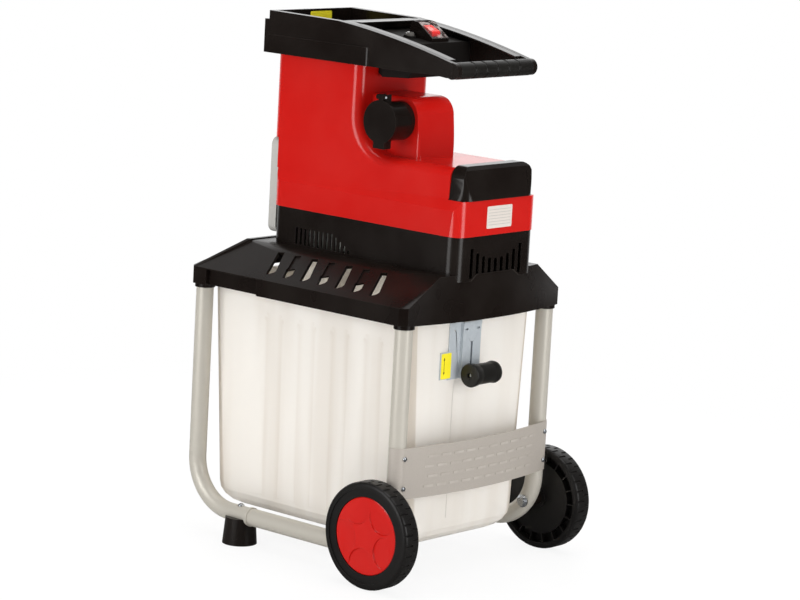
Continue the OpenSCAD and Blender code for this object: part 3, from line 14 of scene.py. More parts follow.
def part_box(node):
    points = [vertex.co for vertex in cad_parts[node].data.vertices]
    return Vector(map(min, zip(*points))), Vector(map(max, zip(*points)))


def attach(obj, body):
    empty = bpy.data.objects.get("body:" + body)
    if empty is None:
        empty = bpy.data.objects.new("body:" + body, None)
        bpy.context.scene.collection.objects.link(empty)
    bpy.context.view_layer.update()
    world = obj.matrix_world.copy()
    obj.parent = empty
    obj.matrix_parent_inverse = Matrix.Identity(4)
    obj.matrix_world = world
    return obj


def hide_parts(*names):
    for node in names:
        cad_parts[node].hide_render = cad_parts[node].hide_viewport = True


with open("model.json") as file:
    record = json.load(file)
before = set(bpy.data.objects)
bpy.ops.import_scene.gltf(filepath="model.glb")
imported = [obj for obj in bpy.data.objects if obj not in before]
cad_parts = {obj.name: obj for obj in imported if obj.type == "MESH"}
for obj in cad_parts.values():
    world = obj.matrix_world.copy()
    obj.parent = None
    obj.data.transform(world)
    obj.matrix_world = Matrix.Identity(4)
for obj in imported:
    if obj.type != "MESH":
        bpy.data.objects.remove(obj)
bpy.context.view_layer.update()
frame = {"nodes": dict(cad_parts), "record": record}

log = logging.getLogger("shredder")
logging.basicConfig(level=logging.INFO, format="%(name)s: %(message)s")

MM = 0.001
X_AXIS = Vector((1, 0, 0))
Y_AXIS = Vector((0, 1, 0))
Z_AXIS = Vector((0, 0, 1))

FOIL_MM = 0.3
INK_MM = 0.05
# Width of a bar with round ends over the radius of its corners, which stay just apart
ROUND_END = 2.2

Span = tuple[float, float]


class Slot(Enum):
    """Material slots of the record."""

    BLACK = "black_plastic"
    WHEEL = "wheel_plastic"
    RED = "red_plastic"
    GREY = "grey_plastic"
    GRIP = "grip_rubber"
    MILKY = "milky_plastic"
    TUBE = "painted_tube"
    PANEL = "panel_sheet"
    ZINC = "zinc_steel"
    CAST = "cast_alloy"
    STEEL = "machine_steel"
    BRASS = "pin_brass"


class Body(Enum):
    """Moving bodies of the record that carry added pieces."""

    CHASSIS = "chassis"
    BOX = "catch_box"
    LOCK = "lock_slider"


def linear(hex_colour: str) -> tuple[float, float, float, float]:
    """Linear colour of an sRGB hex code.

    Args:
        hex_colour: Six hex digits.

    Returns:
        Red, green, blue and alpha for a colour socket.
    """
    values = [int(hex_colour[i:i + 2], 16) / 255 for i in (0, 2, 4)]
    red, green, blue = (v / 12.92 if v <= 0.04045 else ((v + 0.055) / 1.055) ** 2.4 for v in values)
    return red, green, blue, 1.0


class Graph:
    """A node tree that is filled through one call."""

    def __init__(self, tree: bpy.types.NodeTree) -> None:
        """Take over the tree of a material, a world or a geometry group and empty it."""
        self.tree = tree
        self.tree.nodes.clear()

    def add(self, kind: str, values: dict | tuple = (), **settings: object) -> bpy.types.Node:
        """Add a node with its settings and links.

        Args:
            kind: Blender's type name of the node.
            values: Constants or sources by input name, or in the order of the inputs.
            settings: Properties of the node.

        Returns:
            The new node.
        """
        made = self.tree.nodes.new(kind)
        for key, value in settings.items():
            setattr(made, key, value)
        for key, value in values.items() if isinstance(values, dict) else enumerate(values):
            self.feed(made.inputs[key], value)
        return made

    def feed(self, socket: bpy.types.NodeSocket, value: object) -> None:
        """Link a socket to its sources, or set it to a constant.

        Args:
            socket: The input.
            value: A node, a socket, a list of nodes, or a constant.
        """
        if isinstance(value, list):
            for source in value:
                self.feed(socket, source)
        elif isinstance(value, bpy.types.Node):
            self.tree.links.new(next(out for out in value.outputs if out.enabled), socket)
        elif isinstance(value, bpy.types.NodeSocket):
            self.tree.links.new(value, socket)
        else:
            socket.default_value = value


class Paint(Graph):
    """The node tree of a new material."""

    def __init__(self, name: str) -> None:
        """Start the material.

        Args:
            name: Name of the material.
        """
        self.material = bpy.data.materials.new(name)
        self.material.use_nodes = True
        super().__init__(self.material.node_tree)
        self.place = self.add("ShaderNodeTexCoord").outputs["Object"]

    def cover(self, surface: bpy.types.Node) -> bpy.types.Material:
        """Put a shader on the material's surface and give the finished material."""
        self.add("ShaderNodeOutputMaterial", {"Surface": surface})
        return self.material


@dataclass(frozen=True)
class Moulding:
    """Injection-moulded plastic: eroded mould grain, faint flow mottling and rubbed edges."""

    name: str
    colour: str
    worn: str
    roughness: float
    ior: float
    grain_mm: float
    grain_depth_mm: float
    mottle_mm: float = 70.0
    mottle_span: Span = (0.2, 0.8)
    flow_share: float = 0.05
    rough_spread: float = 0.015
    edge_mm: float = 1.2
    edge_share: float = 0.2
    # Cosines of the bend where rubbing starts and where it is full
    edge_bend: Span = (0.98, 0.75)

    def build(self) -> bpy.types.Material:
        """Make the material.

        Returns:
            The material.
        """
        paint = Paint(self.name)
        grain = paint.add("ShaderNodeTexNoise", {
            "Vector": paint.place, "Scale": 1 / (self.grain_mm * MM), "Detail": 3.0})
        mottle = paint.add("ShaderNodeTexNoise", {
            "Vector": paint.place, "Scale": 1 / (self.mottle_mm * MM)})
        soft = paint.add("ShaderNodeBevel", {"Radius": self.edge_mm * MM}, samples=4)
        flat = paint.add("ShaderNodeNewGeometry").outputs["Normal"]
        bend = paint.add("ShaderNodeVectorMath", (soft, flat), operation="DOT_PRODUCT")
        edge = paint.add("ShaderNodeMapRange", (
            bend.outputs["Value"], *self.edge_bend, 0.0, self.edge_share))
        flow = paint.add("ShaderNodeMapRange", (
            mottle, *self.mottle_span, 0.0, self.flow_share), interpolation_type="SMOOTHSTEP")
        tint = paint.add("ShaderNodeMix", {
            "Factor": flow, "A": linear(self.colour), "B": linear(self.worn)}, data_type="RGBA")
        rubbed = paint.add("ShaderNodeMix", {
            "Factor": edge, "A": tint, "B": linear(self.worn)}, data_type="RGBA")
        rough = paint.add("ShaderNodeMapRange", (
            mottle, *self.mottle_span, self.roughness - self.rough_spread,
            self.roughness + self.rough_spread), interpolation_type="SMOOTHSTEP")
        normal = paint.add("ShaderNodeBump", {
            "Height": grain, "Distance": self.grain_depth_mm * MM})
        return paint.cover(paint.add("ShaderNodeBsdfPrincipled", {
            "Base Color": rubbed, "Roughness": rough, "IOR": self.ior, "Normal": normal}))


@dataclass(frozen=True)
class Milky:
    """Natural polyethylene: light passes through it in a cloudy way; painted shade where it turns.
    """

    name: str
    colour: str
    # Darker colour of the clouds, also used for the painted shade where the wall turns
    shade: str
    through: float
    roughness: float = 0.36
    ior: float = 1.4
    # How far the clouds are drawn out along the height
    height_scale: float = 0.08
    streak_mm: float = 45.0
    streak_span: Span = (0.35, 0.65)
    streak_share: float = 0.3
    ripple_mm: float = 16.0
    ripple_depth_mm: float = 0.12
    # Painted shade where the wall turns: where it starts and is full, and its share
    painted_shade_span: Span = (0.05, 0.24)
    painted_shade_share: float = 0.85

    def build(self) -> bpy.types.Material:
        """Make the material.

        Returns:
            The material.
        """
        paint = Paint(self.name)
        drawn = paint.add("ShaderNodeMapping", {
            "Vector": paint.place, "Scale": (1, 1, self.height_scale)})
        streak = paint.add("ShaderNodeTexNoise", {
            "Vector": drawn, "Scale": 1 / (self.streak_mm * MM)})
        ripple = paint.add("ShaderNodeTexNoise", {
            "Vector": drawn, "Scale": 1 / (self.ripple_mm * MM), "Detail": 1.0})
        cloudy = paint.add("ShaderNodeMapRange", (
            streak, *self.streak_span, 0.0, self.streak_share), interpolation_type="SMOOTHSTEP")
        # The lesser level part of the normal is small on flat walls and large on flutes and
        # corners, and there the colour is painted darker as shade
        flat = paint.add("ShaderNodeNewGeometry").outputs["Normal"]
        parts = paint.add("ShaderNodeVectorMath", (flat,), operation="ABSOLUTE")
        level = paint.add("ShaderNodeSeparateXYZ", (parts,)).outputs
        turn = paint.add("ShaderNodeMath", (level["X"], level["Y"]), operation="MINIMUM")
        painted_fold_shade = paint.add("ShaderNodeMapRange", (turn, *self.painted_shade_span, 0.0, self.painted_shade_share))
        share = paint.add("ShaderNodeMath", (cloudy, painted_fold_shade), operation="ADD", use_clamp=True)
        colour = paint.add("ShaderNodeMix", {
            "Factor": share, "A": linear(self.colour), "B": linear(self.shade)}, data_type="RGBA")
        normal = paint.add("ShaderNodeBump", {
            "Height": ripple, "Distance": self.ripple_depth_mm * MM})
        solid = paint.add("ShaderNodeBsdfPrincipled", {
            "Base Color": colour, "Roughness": self.roughness, "IOR": self.ior, "Normal": normal})
        glow = paint.add("ShaderNodeBsdfTranslucent", {
            "Color": linear(self.colour), "Normal": normal})
        return paint.cover(paint.add("ShaderNodeMixShader", (self.through, solid, glow)))


@dataclass(frozen=True)
class PowderCoat:
    """Powder coat on steel: fine metal flake under an orange-peel surface."""

    name: str
    colour: str
    flake: str
    metallic: float
    roughness: float
    flake_mm: float = 0.5
    flake_span: Span = (0.45, 0.75)
    flake_share: float = 0.5
    peel_mm: float = 2.4
    peel_span: Span = (0.3, 0.7)
    peel_depth_mm: float = 0.03
    # How far the roughness falls and rises with the peel
    rough_change: Span = (-0.05, 0.06)

    def build(self) -> bpy.types.Material:
        """Make the material.

        Returns:
            The material.
        """
        paint = Paint(self.name)
        peel = paint.add("ShaderNodeTexNoise", {
            "Vector": paint.place, "Scale": 1 / (self.peel_mm * MM)})
        rough = paint.add("ShaderNodeMapRange", (
            peel, *self.peel_span, *(self.roughness + step for step in self.rough_change)))
        normal = paint.add("ShaderNodeBump", {"Height": peel, "Distance": self.peel_depth_mm * MM})
        return paint.cover(paint.add("ShaderNodeBsdfPrincipled", {
            "Base Color": self.tint(paint), "Metallic": self.metallic, "Roughness": rough,
            "Normal": normal}))

    def tint(self, paint: Paint) -> bpy.types.Node:
        """Colour of the coat with its flakes.

        Args:
            paint: Tree to add to.

        Returns:
            The node that gives the colour.
        """
        flake = paint.add("ShaderNodeTexNoise", {
            "Vector": paint.place, "Scale": 1 / (self.flake_mm * MM), "Detail": 1.0})
        share = paint.add("ShaderNodeMapRange", (flake, *self.flake_span, 0.0, self.flake_share))
        return paint.add("ShaderNodeMix", {
            "Factor": share, "A": linear(self.colour), "B": linear(self.flake)}, data_type="RGBA")


@dataclass(frozen=True)
class EmbossedCoat(PowderCoat):
    """Powder coat on an embossed sheet, bowed about an upright axis: paler in patches on its
    crests.
    """

    crest: str = "CDC7BF"
    crest_x_mm: float = 0.0
    crest_radius_mm: float = 883.4
    rise_mm: float = 0.65
    # Depths below the crest, as shares of its rise, where the pale tone starts and where it is full
    crest_span: Span = (0.7, 0.2)
    crest_patch_mm: float = 26.0
    crest_patch_span: Span = (0.38, 0.62)
    crest_patch_share: Span = (0.1, 0.55)

    def tint(self, paint: Paint) -> bpy.types.Node:
        """Colour of the coat, paler on the crests.

        Args:
            paint: Tree to add to.

        Returns:
            The node that gives the colour.
        """
        axis = ((self.crest_x_mm - self.crest_radius_mm) * MM, 0, 0)
        away = paint.add("ShaderNodeVectorMath", (paint.place, axis), operation="SUBTRACT")
        level = paint.add("ShaderNodeVectorMath", (away, (1, 1, 0)), operation="MULTIPLY")
        reach = paint.add("ShaderNodeVectorMath", (level,), operation="LENGTH").outputs["Value"]
        raised = paint.add("ShaderNodeMapRange", (reach, *(
            (self.crest_radius_mm - self.rise_mm * part) * MM for part in self.crest_span)))
        # Noise patches decide where the paler tone shows on the crests
        crest_patches = paint.add("ShaderNodeTexNoise", {
            "Vector": paint.place, "Scale": 1 / (self.crest_patch_mm * MM)})
        worn = paint.add("ShaderNodeMapRange", (crest_patches, *self.crest_patch_span, *self.crest_patch_share))
        share = paint.add("ShaderNodeMath", (raised, worn), operation="MULTIPLY")
        return paint.add("ShaderNodeMix", {
            "Factor": share, "A": super().tint(paint), "B": linear(self.crest)}, data_type="RGBA")


@dataclass(frozen=True)
class BareMetal:
    """Metal that shows itself: spangled zinc, cast skin or turned steel."""

    name: str
    colour: str
    shade: str
    roughness: float
    patch_mm: float
    lay: tuple[float, float, float]
    metallic: float = 1.0
    shade_share: float = 0.5
    rough_spread: float = 0.06
    line_mm: float = 0.8
    line_depth_mm: float = 0.02

    def build(self) -> bpy.types.Material:
        """Make the material.

        Returns:
            The material.
        """
        paint = Paint(self.name)
        patch = paint.add("ShaderNodeTexVoronoi", {
            "Vector": paint.place, "Scale": 1 / (self.patch_mm * MM)})
        value = paint.add("ShaderNodeSeparateColor", {"Color": patch.outputs["Color"]})
        drawn = paint.add("ShaderNodeMapping", {"Vector": paint.place, "Scale": self.lay})
        lines = paint.add("ShaderNodeTexNoise", {
            "Vector": drawn, "Scale": 1 / (self.line_mm * MM), "Detail": 1.0})
        share = paint.add("ShaderNodeMapRange", {0: value, 4: self.shade_share})
        colour = paint.add("ShaderNodeMix", {
            "Factor": share, "A": linear(self.colour), "B": linear(self.shade)}, data_type="RGBA")
        rough = paint.add("ShaderNodeMapRange", {
            0: value, 3: self.roughness - self.rough_spread, 4: self.roughness + self.rough_spread})
        normal = paint.add("ShaderNodeBump", {"Height": lines, "Distance": self.line_depth_mm * MM})
        return paint.cover(paint.add("ShaderNodeBsdfPrincipled", {
            "Base Color": colour, "Metallic": self.metallic, "Roughness": rough, "Normal": normal}))


@dataclass(frozen=True)
class ClearVinyl:
    """Soft clear vinyl: see-through, with a wavy skin of real gloss and painted reflection."""

    name: str
    colour: str
    ior: float = 1.5
    cloud: float = 0.02
    # Near-white skin in the creases, partly real gloss and partly painted reflection: its share and
    # where it shows
    crease: float = 0.22
    painted_sheen_span: Span = (0.48, 0.62)
    wave_mm: float = 14.0
    wave_depth_mm: float = 0.6
    wave_span: Span = (0.3, 0.7)
    haze: Span = (0.05, 0.16)

    def build(self) -> bpy.types.Material:
        """Make the material.

        Returns:
            The material.
        """
        paint = Paint(self.name)
        wave = paint.add("ShaderNodeTexNoise", {
            "Vector": paint.place, "Scale": 1 / (self.wave_mm * MM), "Detail": 1.0})
        haze = paint.add("ShaderNodeMapRange", (wave, *self.wave_span, *self.haze))
        normal = paint.add("ShaderNodeBump", {"Height": wave, "Distance": self.wave_depth_mm * MM})
        skin = paint.add("ShaderNodeBsdfPrincipled", {
            "Base Color": linear(self.colour), "Roughness": haze, "IOR": self.ior,
            "Normal": normal})
        clear = paint.add("ShaderNodeBsdfTransparent", {"Color": linear(self.colour)})
        # Pale patches of near-white skin along the waves: painted reflection mixed with real gloss
        crease = paint.add("ShaderNodeMapRange", (
            wave, *self.painted_sheen_span, self.cloud, self.crease), interpolation_type="SMOOTHSTEP")
        return paint.cover(paint.add("ShaderNodeMixShader", (crease, clear, skin)))


@dataclass(frozen=True)
class PrintedFoil:
    """Self-adhesive foil or its ink: satin, with a faint paper tooth."""

    name: str
    colour: str
    shade: str
    roughness: float
    shade_share: float = 0.35
    tooth_mm: float = 1.5
    tooth_depth_mm: float = 0.02
    tooth_span: Span = (0.35, 0.7)

    def build(self) -> bpy.types.Material:
        """Make the material.

        Returns:
            The material.
        """
        paint = Paint(self.name)
        tooth = paint.add("ShaderNodeTexNoise", {
            "Vector": paint.place, "Scale": 1 / (self.tooth_mm * MM)})
        share = paint.add("ShaderNodeMapRange", (tooth, *self.tooth_span, 0.0, self.shade_share))
        colour = paint.add("ShaderNodeMix", {
            "Factor": share, "A": linear(self.colour), "B": linear(self.shade)}, data_type="RGBA")
        normal = paint.add("ShaderNodeBump", {
            "Height": tooth, "Distance": self.tooth_depth_mm * MM})
        return paint.cover(paint.add("ShaderNodeBsdfPrincipled", {
            "Base Color": colour, "Roughness": self.roughness, "Normal": normal}))


# Mould grain and foil tooth are about 0.2 mm on the real pieces, turning lines 0.1 mm and metal
# flakes 0.05 mm. All of them are drawn coarser so that they show.
FINISHES = {
    # Polypropylene off an eroded mould: deep black, satin on the flats and bright at low angles
    Slot.BLACK: Moulding(
        "Black polypropylene, moulded", "130D0A", "5C5752", 0.24, 1.34, 0.8, 0.012),
    # Blow-moulded wheel: dull black, greyer along the edges of its tread
    Slot.WHEEL: Moulding(
        "Black polyethylene, blow moulded", "110F0E", "4C4844", 0.4, 1.38, 1.2, 0.03),
    # ABS off a polished mould: clear satin red with sharp lines of light along round edges
    Slot.RED: Moulding("Red ABS, satin moulded", "BE120C", "E2564B", 0.2, 1.45, 1.8, 0.006),
    # ABS off a matt mould: even light grey with a dull sheen
    Slot.GREY: Moulding("Light grey ABS, matt moulded", "B2B0AB", "D2D0CC", 0.45, 1.45, 0.9, 0.02),
    # Thermoplastic rubber: dull and slightly dusty
    Slot.GRIP: Moulding(
        "Black thermoplastic rubber, moulded", "151310", "4C4844", 0.42, 1.4, 0.7, 0.03),
    # Unfilled polyethylene: cloudy white that glows where light comes through, with painted shade
    # on its flutes and corners
    Slot.MILKY: Milky("Natural polyethylene, moulded", "FFFCF7", "DFD6CA", 0.38),
    # Silver powder coat: warm grey with a soft metal glint
    Slot.TUBE: PowderCoat("Steel tube, silver powder coat", "BBB6AB", "D2CEC6", 0.2, 0.36),
    # The same coat on sheet, seen flatter, with its colours painted darker than the tubes' as shade
    Slot.PANEL: EmbossedCoat(
        "Pressed steel sheet, silver powder coat", "B0A89F", "CCC6BE", 0.2, 0.42,
        crest_x_mm=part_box("brace_panel")[1].x / MM),
    # Zinc plate: bluish with a faint spangle
    Slot.ZINC: BareMetal(
        "Steel sheet, bright zinc plate", "D0D7DC", "C2CAD0", 0.42, 9.0, (1, 1, 6), 0.35),
    # Aluminium as it leaves the die: dull and slightly patchy
    Slot.CAST: BareMetal("Aluminium, die cast", "B4B4B0", "8E8E8A", 0.5, 2.0, (1, 1, 1)),
    # Oiled machine steel: dark, with turning lines round the X axis
    Slot.STEEL: BareMetal("Machined steel, oiled", "8C8A86", "5E5C58", 0.32, 3.0, (8, 1, 1)),
    # Brass turned to pins along Y: yellow with fine rings
    Slot.BRASS: BareMetal("Turned brass", "C8A85A", "A88838", 0.25, 2.0, (1, 8, 1)),
}


class Trim(Enum):
    """Finishes of the added pieces and of nodes that differ from their slot."""

    # Dipped hood: clear but for its creases, which show pale as painted reflection mixed with real
    # gloss
    CLEAR = ClearVinyl("Clear soft vinyl, dipped", "FFF4F1")
    # Coarse eroded mould: takes the light off the control panel
    MATT = Moulding("Black ABS, coarse matt grain", "14110F", "3A3632", 0.62, 1.25, 1.4, 0.05)
    # As the other black polypropylene, with less light at low angles
    DECK = Moulding(
        "Black polypropylene, fine grained", "130D0A", "5C5752", 0.28, 1.25, 0.8, 0.012)
    # Polished lip that is bright at low angles
    GLOSS = Moulding("Black ABS, polished", "130D0A", "5C5752", 0.25, 1.8, 1.2, 0.006)
    # Polycarbonate off a mirror-polished mould: bright red with a clear glint
    LENS = Moulding("Red polycarbonate, polished", "F01A20", "FF6A5C", 0.12, 1.5, 3.0, 0.004)
    # Foils as they come off the roll, satin, and their duller inks
    WHITE_FOIL = PrintedFoil("White polyester foil, bare", "D6CEC6", "C8C0B8", 0.35)
    YELLOW_FOIL = PrintedFoil("Yellow vinyl foil, bare", "FAEA32", "F0DE28", 0.3)
    BLACK_INK = PrintedFoil("Black screen ink", "181614", "24211E", 0.4)
    GREY_INK = PrintedFoil("Grey screen ink", "A8A49E", "BCB8B2", 0.4)
    # The housing's red for a piece that lies flush in its wall
    FLUSH = replace(
        FINISHES[Slot.RED], name="Red ABS, satin moulded without edges", edge_share=0.0)
    # Soft button off a polished mould: grey with a sharp glint
    BUTTON = Moulding("Grey vinyl, glossy", "6E6B67", "B4B1AC", 0.15, 1.5, 2.0, 0.004)
    # Barrel plating: bright all over, with a spangle finer than the sheet's
    SCREW = BareMetal("Steel screws, zinc plate", "C8CCD0", "A8ACB0", 0.3, 2.0, (1, 1, 1))


class Palette:
    """Built materials by slot and by trim."""

    def __init__(self) -> None:
        """Build every finish once."""
        self.slots = {slot: finish.build() for slot, finish in FINISHES.items()}
        self.trims = {trim: trim.value.build() for trim in Trim}

    def of(self, finish: Slot | Trim) -> bpy.types.Material:
        """Material of a slot or a trim."""
        return self.slots[finish] if isinstance(finish, Slot) else self.trims[finish]


@dataclass(frozen=True)
class Seat:
    """Place of a fastener: the point that its head rests on and the way it faces."""

    at: Vector
    facing: Vector


@dataclass(frozen=True)
class ScrewSize:
    """Sizes of a pan-head screw in millimetres."""

    head_diameter: float
    head_height: float
    recess_width: float
    recess_depth: float
    shank_diameter: float
    shank_length: float


class ScrewTree:
    """Geometry Nodes tree that sets a pan-head screw with a cross recess on each point."""

    FACING = "facing"
    # The tree's inputs by the fields of a screw's size
    INPUTS = {field.name: field.name.replace("_", " ").capitalize() for field in fields(ScrewSize)}
    HEAD_SIDES = 24
    HEAD_RINGS = 12
    SHANK_SIDES = 16
    # Length of the recess as a share of the head's diameter
    RECESS_SHARE = 0.62

    def __init__(self) -> None:
        """Build the tree."""
        self.group = bpy.data.node_groups.new("cross_recess_screws", "GeometryNodeTree")
        graph = Graph(self.group)
        face = self.group.interface
        face.new_socket("Seats", in_out="INPUT", socket_type="NodeSocketGeometry")
        for label in self.INPUTS.values():
            face.new_socket(label, in_out="INPUT", socket_type="NodeSocketFloat")
        face.new_socket("Finish", in_out="INPUT", socket_type="NodeSocketMaterial")
        face.new_socket("Screws", in_out="OUTPUT", socket_type="NodeSocketGeometry")
        given = graph.add("NodeGroupInput").outputs
        height, slot_width = given["Head height"], given["Recess width"]
        radius, wide, slot_length, tall, sunk, slot_depth, shank_radius, shank_middle = (
            graph.add("ShaderNodeMath", (given[label], factor), operation="MULTIPLY")
            for label, factor in (
                ("Head diameter", 0.5), ("Head diameter", 2.0),
                ("Head diameter", self.RECESS_SHARE), ("Head height", 2.0), ("Head height", -1.0),
                ("Recess depth", 2.0), ("Shank diameter", 0.5), ("Shank length", -0.5)))
        dome_scale, block_size, block_at, bar_at, bar_size, cross_size, shank_at = (
            graph.add("ShaderNodeCombineXYZ", values) for values in (
                (radius, radius, height), (wide, wide, tall), (0.0, 0.0, sunk), (0.0, 0.0, height),
                (slot_length, slot_width, slot_depth), (slot_width, slot_length, slot_depth),
                (0.0, 0.0, shank_middle)))
        ball = graph.add("GeometryNodeMeshUVSphere", {
            "Segments": self.HEAD_SIDES, "Rings": self.HEAD_RINGS, "Radius": 1.0})
        dome = graph.add("GeometryNodeTransform", {"Geometry": ball, "Scale": dome_scale})
        cuts = [graph.add("GeometryNodeTransform", {
            "Geometry": graph.add("GeometryNodeMeshCube", {"Size": size}), "Translation": place})
            for size, place in ((block_size, block_at), (bar_size, bar_at), (cross_size, bar_at))]
        head = graph.add("GeometryNodeMeshBoolean", {
            "Mesh 1": dome, "Mesh 2": cuts}, operation="DIFFERENCE")
        rod = graph.add("GeometryNodeMeshCylinder", {
            "Vertices": self.SHANK_SIDES, "Radius": shank_radius, "Depth": given["Shank length"]})
        shank = graph.add("GeometryNodeTransform", {
            "Geometry": rod.outputs["Mesh"], "Translation": shank_at})
        screw = graph.add("GeometryNodeJoinGeometry", ([head, shank],))
        facing = graph.add("GeometryNodeInputNamedAttribute", {
            "Name": self.FACING}, data_type="FLOAT_VECTOR")
        turned = graph.add("FunctionNodeAlignRotationToVector", {"Vector": facing}, axis="Z")
        points = graph.add("GeometryNodeMeshToPoints", {"Mesh": given["Seats"]})
        placed = graph.add("GeometryNodeInstanceOnPoints", {
            "Points": points, "Instance": screw, "Rotation": turned})
        real = graph.add("GeometryNodeRealizeInstances", {"Geometry": placed})
        dressed = graph.add("GeometryNodeSetMaterial", {
            "Geometry": real, "Material": given["Finish"]})
        graph.add("NodeGroupOutput", (dressed,))

    def make(self, name: str, seats: Sequence[Seat], size: ScrewSize,
             finish: bpy.types.Material) -> bpy.types.Mesh:
        """Screws at the given seats as one plain mesh.

        Args:
            name: Name of the mesh.
            seats: Where the heads rest.
            size: Sizes of the screws.
            finish: Material of the screws.

        Returns:
            The mesh.
        """
        mesh = bpy.data.meshes.new(name + "_seats")
        mesh.from_pydata([seat.at for seat in seats], [], [])
        facing = mesh.attributes.new(self.FACING, "FLOAT_VECTOR", "POINT")
        for item, seat in zip(facing.data, seats):
            item.vector = seat.facing
        holder = bpy.data.objects.new(name + "_seats", mesh)
        bpy.context.scene.collection.objects.link(holder)
        modifier = holder.modifiers.new(self.group.name, "NODES")
        modifier.node_group = self.group
        values = {label: getattr(size, field) * MM for field, label in self.INPUTS.items()}
        values["Finish"] = finish
        for item in self.group.interface.items_tree:
            if item.in_out == "INPUT" and item.name in values:
                modifier[item.identifier] = values[item.name]
        bpy.context.view_layer.update()
        graph = bpy.context.evaluated_depsgraph_get()
        made = bpy.data.meshes.new_from_object(
            holder.evaluated_get(graph), preserve_all_data_layers=True, depsgraph=graph)
        made.name = name
        holder.modifiers.remove(modifier)
        bpy.data.objects.remove(holder)
        return made


def solids(name: str, join_m: float = 1e-6) -> list[tuple[Vector, Vector]]:
    """Boxes of the separate solids of a CAD node.

    Args:
        name: Name of the node.
        join_m: Corners closer than this are one.

    Returns:
        Lowest and highest corner of each solid, in the order of their places.
    """
    work = bmesh.new()
    work.from_mesh(frame["nodes"][name].data)
    bmesh.ops.remove_doubles(work, verts=work.verts, dist=join_m)
    left = set(work.verts)
    boxes = []
    while left:
        reached = [left.pop()]
        for vertex in reached:
            for edge in vertex.link_edges:
                other = edge.other_vert(vertex)
                if other in left:
                    left.remove(other)
                    reached.append(other)
        boxes.append(tuple(
            Vector(pick(v.co[i] for v in reached) for i in range(3)) for pick in (min, max)))
    work.free()
    return sorted(boxes, key=lambda box: tuple(box[0]))


@dataclass(frozen=True)
class Facet:
    """A flat face to lay a sheet on: its middle, its way across and its way up."""

    middle: Vector
    across: Vector
    up: Vector

    def matrix(self) -> Matrix:
        """Turn and shift from the sheet's own plane to the face."""
        turn = Matrix((self.across, self.up, self.across.cross(self.up))).transposed()
        return Matrix.Translation(self.middle) @ turn.to_4x4()


def sheet(name: str, outlines: Sequence[Sequence[Span]], thick_mm: float, lift_mm: float,
          facet: Facet) -> bpy.types.Mesh:
    """Thin plates with the given outlines, laid on a face.

    Args:
        name: Name of the mesh.
        outlines: Corners of each plate in millimetres, anticlockwise.
        thick_mm: Thickness.
        lift_mm: Height of the underside above the face.
        facet: The face.

    Returns:
        The mesh.
    """
    work = bmesh.new()
    for outline in outlines:
        low, high = ([work.verts.new(Vector((x, y, z)) * MM) for x, y in outline]
                     for z in (lift_mm, lift_mm + thick_mm))
        work.faces.new(high)
        work.faces.new(low[::-1])
        for i in range(len(outline)):
            j = (i + 1) % len(outline)
            work.faces.new((low[i], low[j], high[j], high[i]))
    work.transform(facet.matrix())
    mesh = bpy.data.meshes.new(name)
    work.to_mesh(mesh)
    work.free()
    return mesh


def round_rectangle(width: float, height: float, radius: float, steps: int = 6) -> list[Span]:
    """Outline of a rectangle with round corners about the origin.

    Args:
        width: Width.
        height: Height.
        radius: Radius of the corners.
        steps: Steps in each corner.

    Returns:
        The corners, anticlockwise.
    """
    points = []
    for quarter, (sx, sy) in enumerate(((1, 1), (-1, 1), (-1, -1), (1, -1))):
        for step in range(steps + 1):
            angle = math.pi / 2 * (quarter + step / steps)
            points.append((sx * (width / 2 - radius) + radius * math.cos(angle),
                           sy * (height / 2 - radius) + radius * math.sin(angle)))
    return points


@dataclass(frozen=True)
class Foil:
    """A foil that faces the rear: its middle, its size and its corners in millimetres."""

    y: float
    z: float
    width: float
    height: float
    corner: float


@dataclass
class SubAssembly:
    """A group of CAD nodes that is dressed together with the pieces added to it."""

    palette: Palette

    def wear(self, finish: Slot | Trim, *names: str, edge_mm: float, angle: float = 32.0) -> None:
        """Give CAD nodes a finish and round their sharp edges for the eye.

        Args:
            finish: The finish's slot or trim.
            names: Names of the nodes.
            edge_mm: Width of the rounding.
            angle: Smallest angle in degrees that counts as an edge.
        """
        weld_mm = 0.01
        for name in names:
            piece = frame["nodes"][name]
            piece.data.materials.clear()
            piece.data.materials.append(self.palette.of(finish))
            weld = piece.modifiers.new("weld", "WELD")
            weld.merge_threshold = weld_mm * MM
            bevel = piece.modifiers.new("soft_edges", "BEVEL")
            bevel.width = edge_mm * MM
            bevel.segments = 2
            bevel.limit_method = "ANGLE"
            bevel.angle_limit = math.radians(angle)
            bevel.use_clamp_overlap = True
            piece.modifiers.new("even_normals", "WEIGHTED_NORMAL")
            for face in piece.data.polygons:
                face.use_smooth = True

    def place(self, mesh: bpy.types.Mesh, body: Body, slot: Slot, finish: Slot | Trim,
              stands_for: Sequence[str] = ()) -> None:
        """Add a finished mesh to the part.

        Args:
            mesh: The mesh, in the part's frame.
            body: Body that it moves with.
            slot: Record slot that it belongs to; not used.
            finish: Finish that it wears.
            stands_for: CAD nodes that it replaces.
        """
        mesh.materials.clear()
        mesh.materials.append(self.palette.of(finish))
        piece = bpy.data.objects.new(mesh.name, mesh)
        bpy.context.scene.collection.objects.link(piece)
        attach(piece, body.value)
        if stands_for:
            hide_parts(*stands_for)
        log.info("added %s on %s with %d faces", piece.name, body.value, len(mesh.polygons))

    def stick(self, name: str, foil: Foil, x: float, finish: Trim) -> Facet:
        """Lay a foil on a face of the chassis.

        Args:
            name: Name of the piece.
            foil: Its place and size.
            x: Place of the face along X in metres.
            finish: Finish that it wears.

        Returns:
            The face, for what is printed on the foil.
        """
        facet = Facet(Vector((x, foil.y * MM, foil.z * MM)), Y_AXIS, Z_AXIS)
        outline = round_rectangle(foil.width, foil.height, foil.corner)
        self.place(sheet(name, [outline], FOIL_MM, 0.0, facet), Body.CHASSIS, Slot.GREY, finish)
        return facet


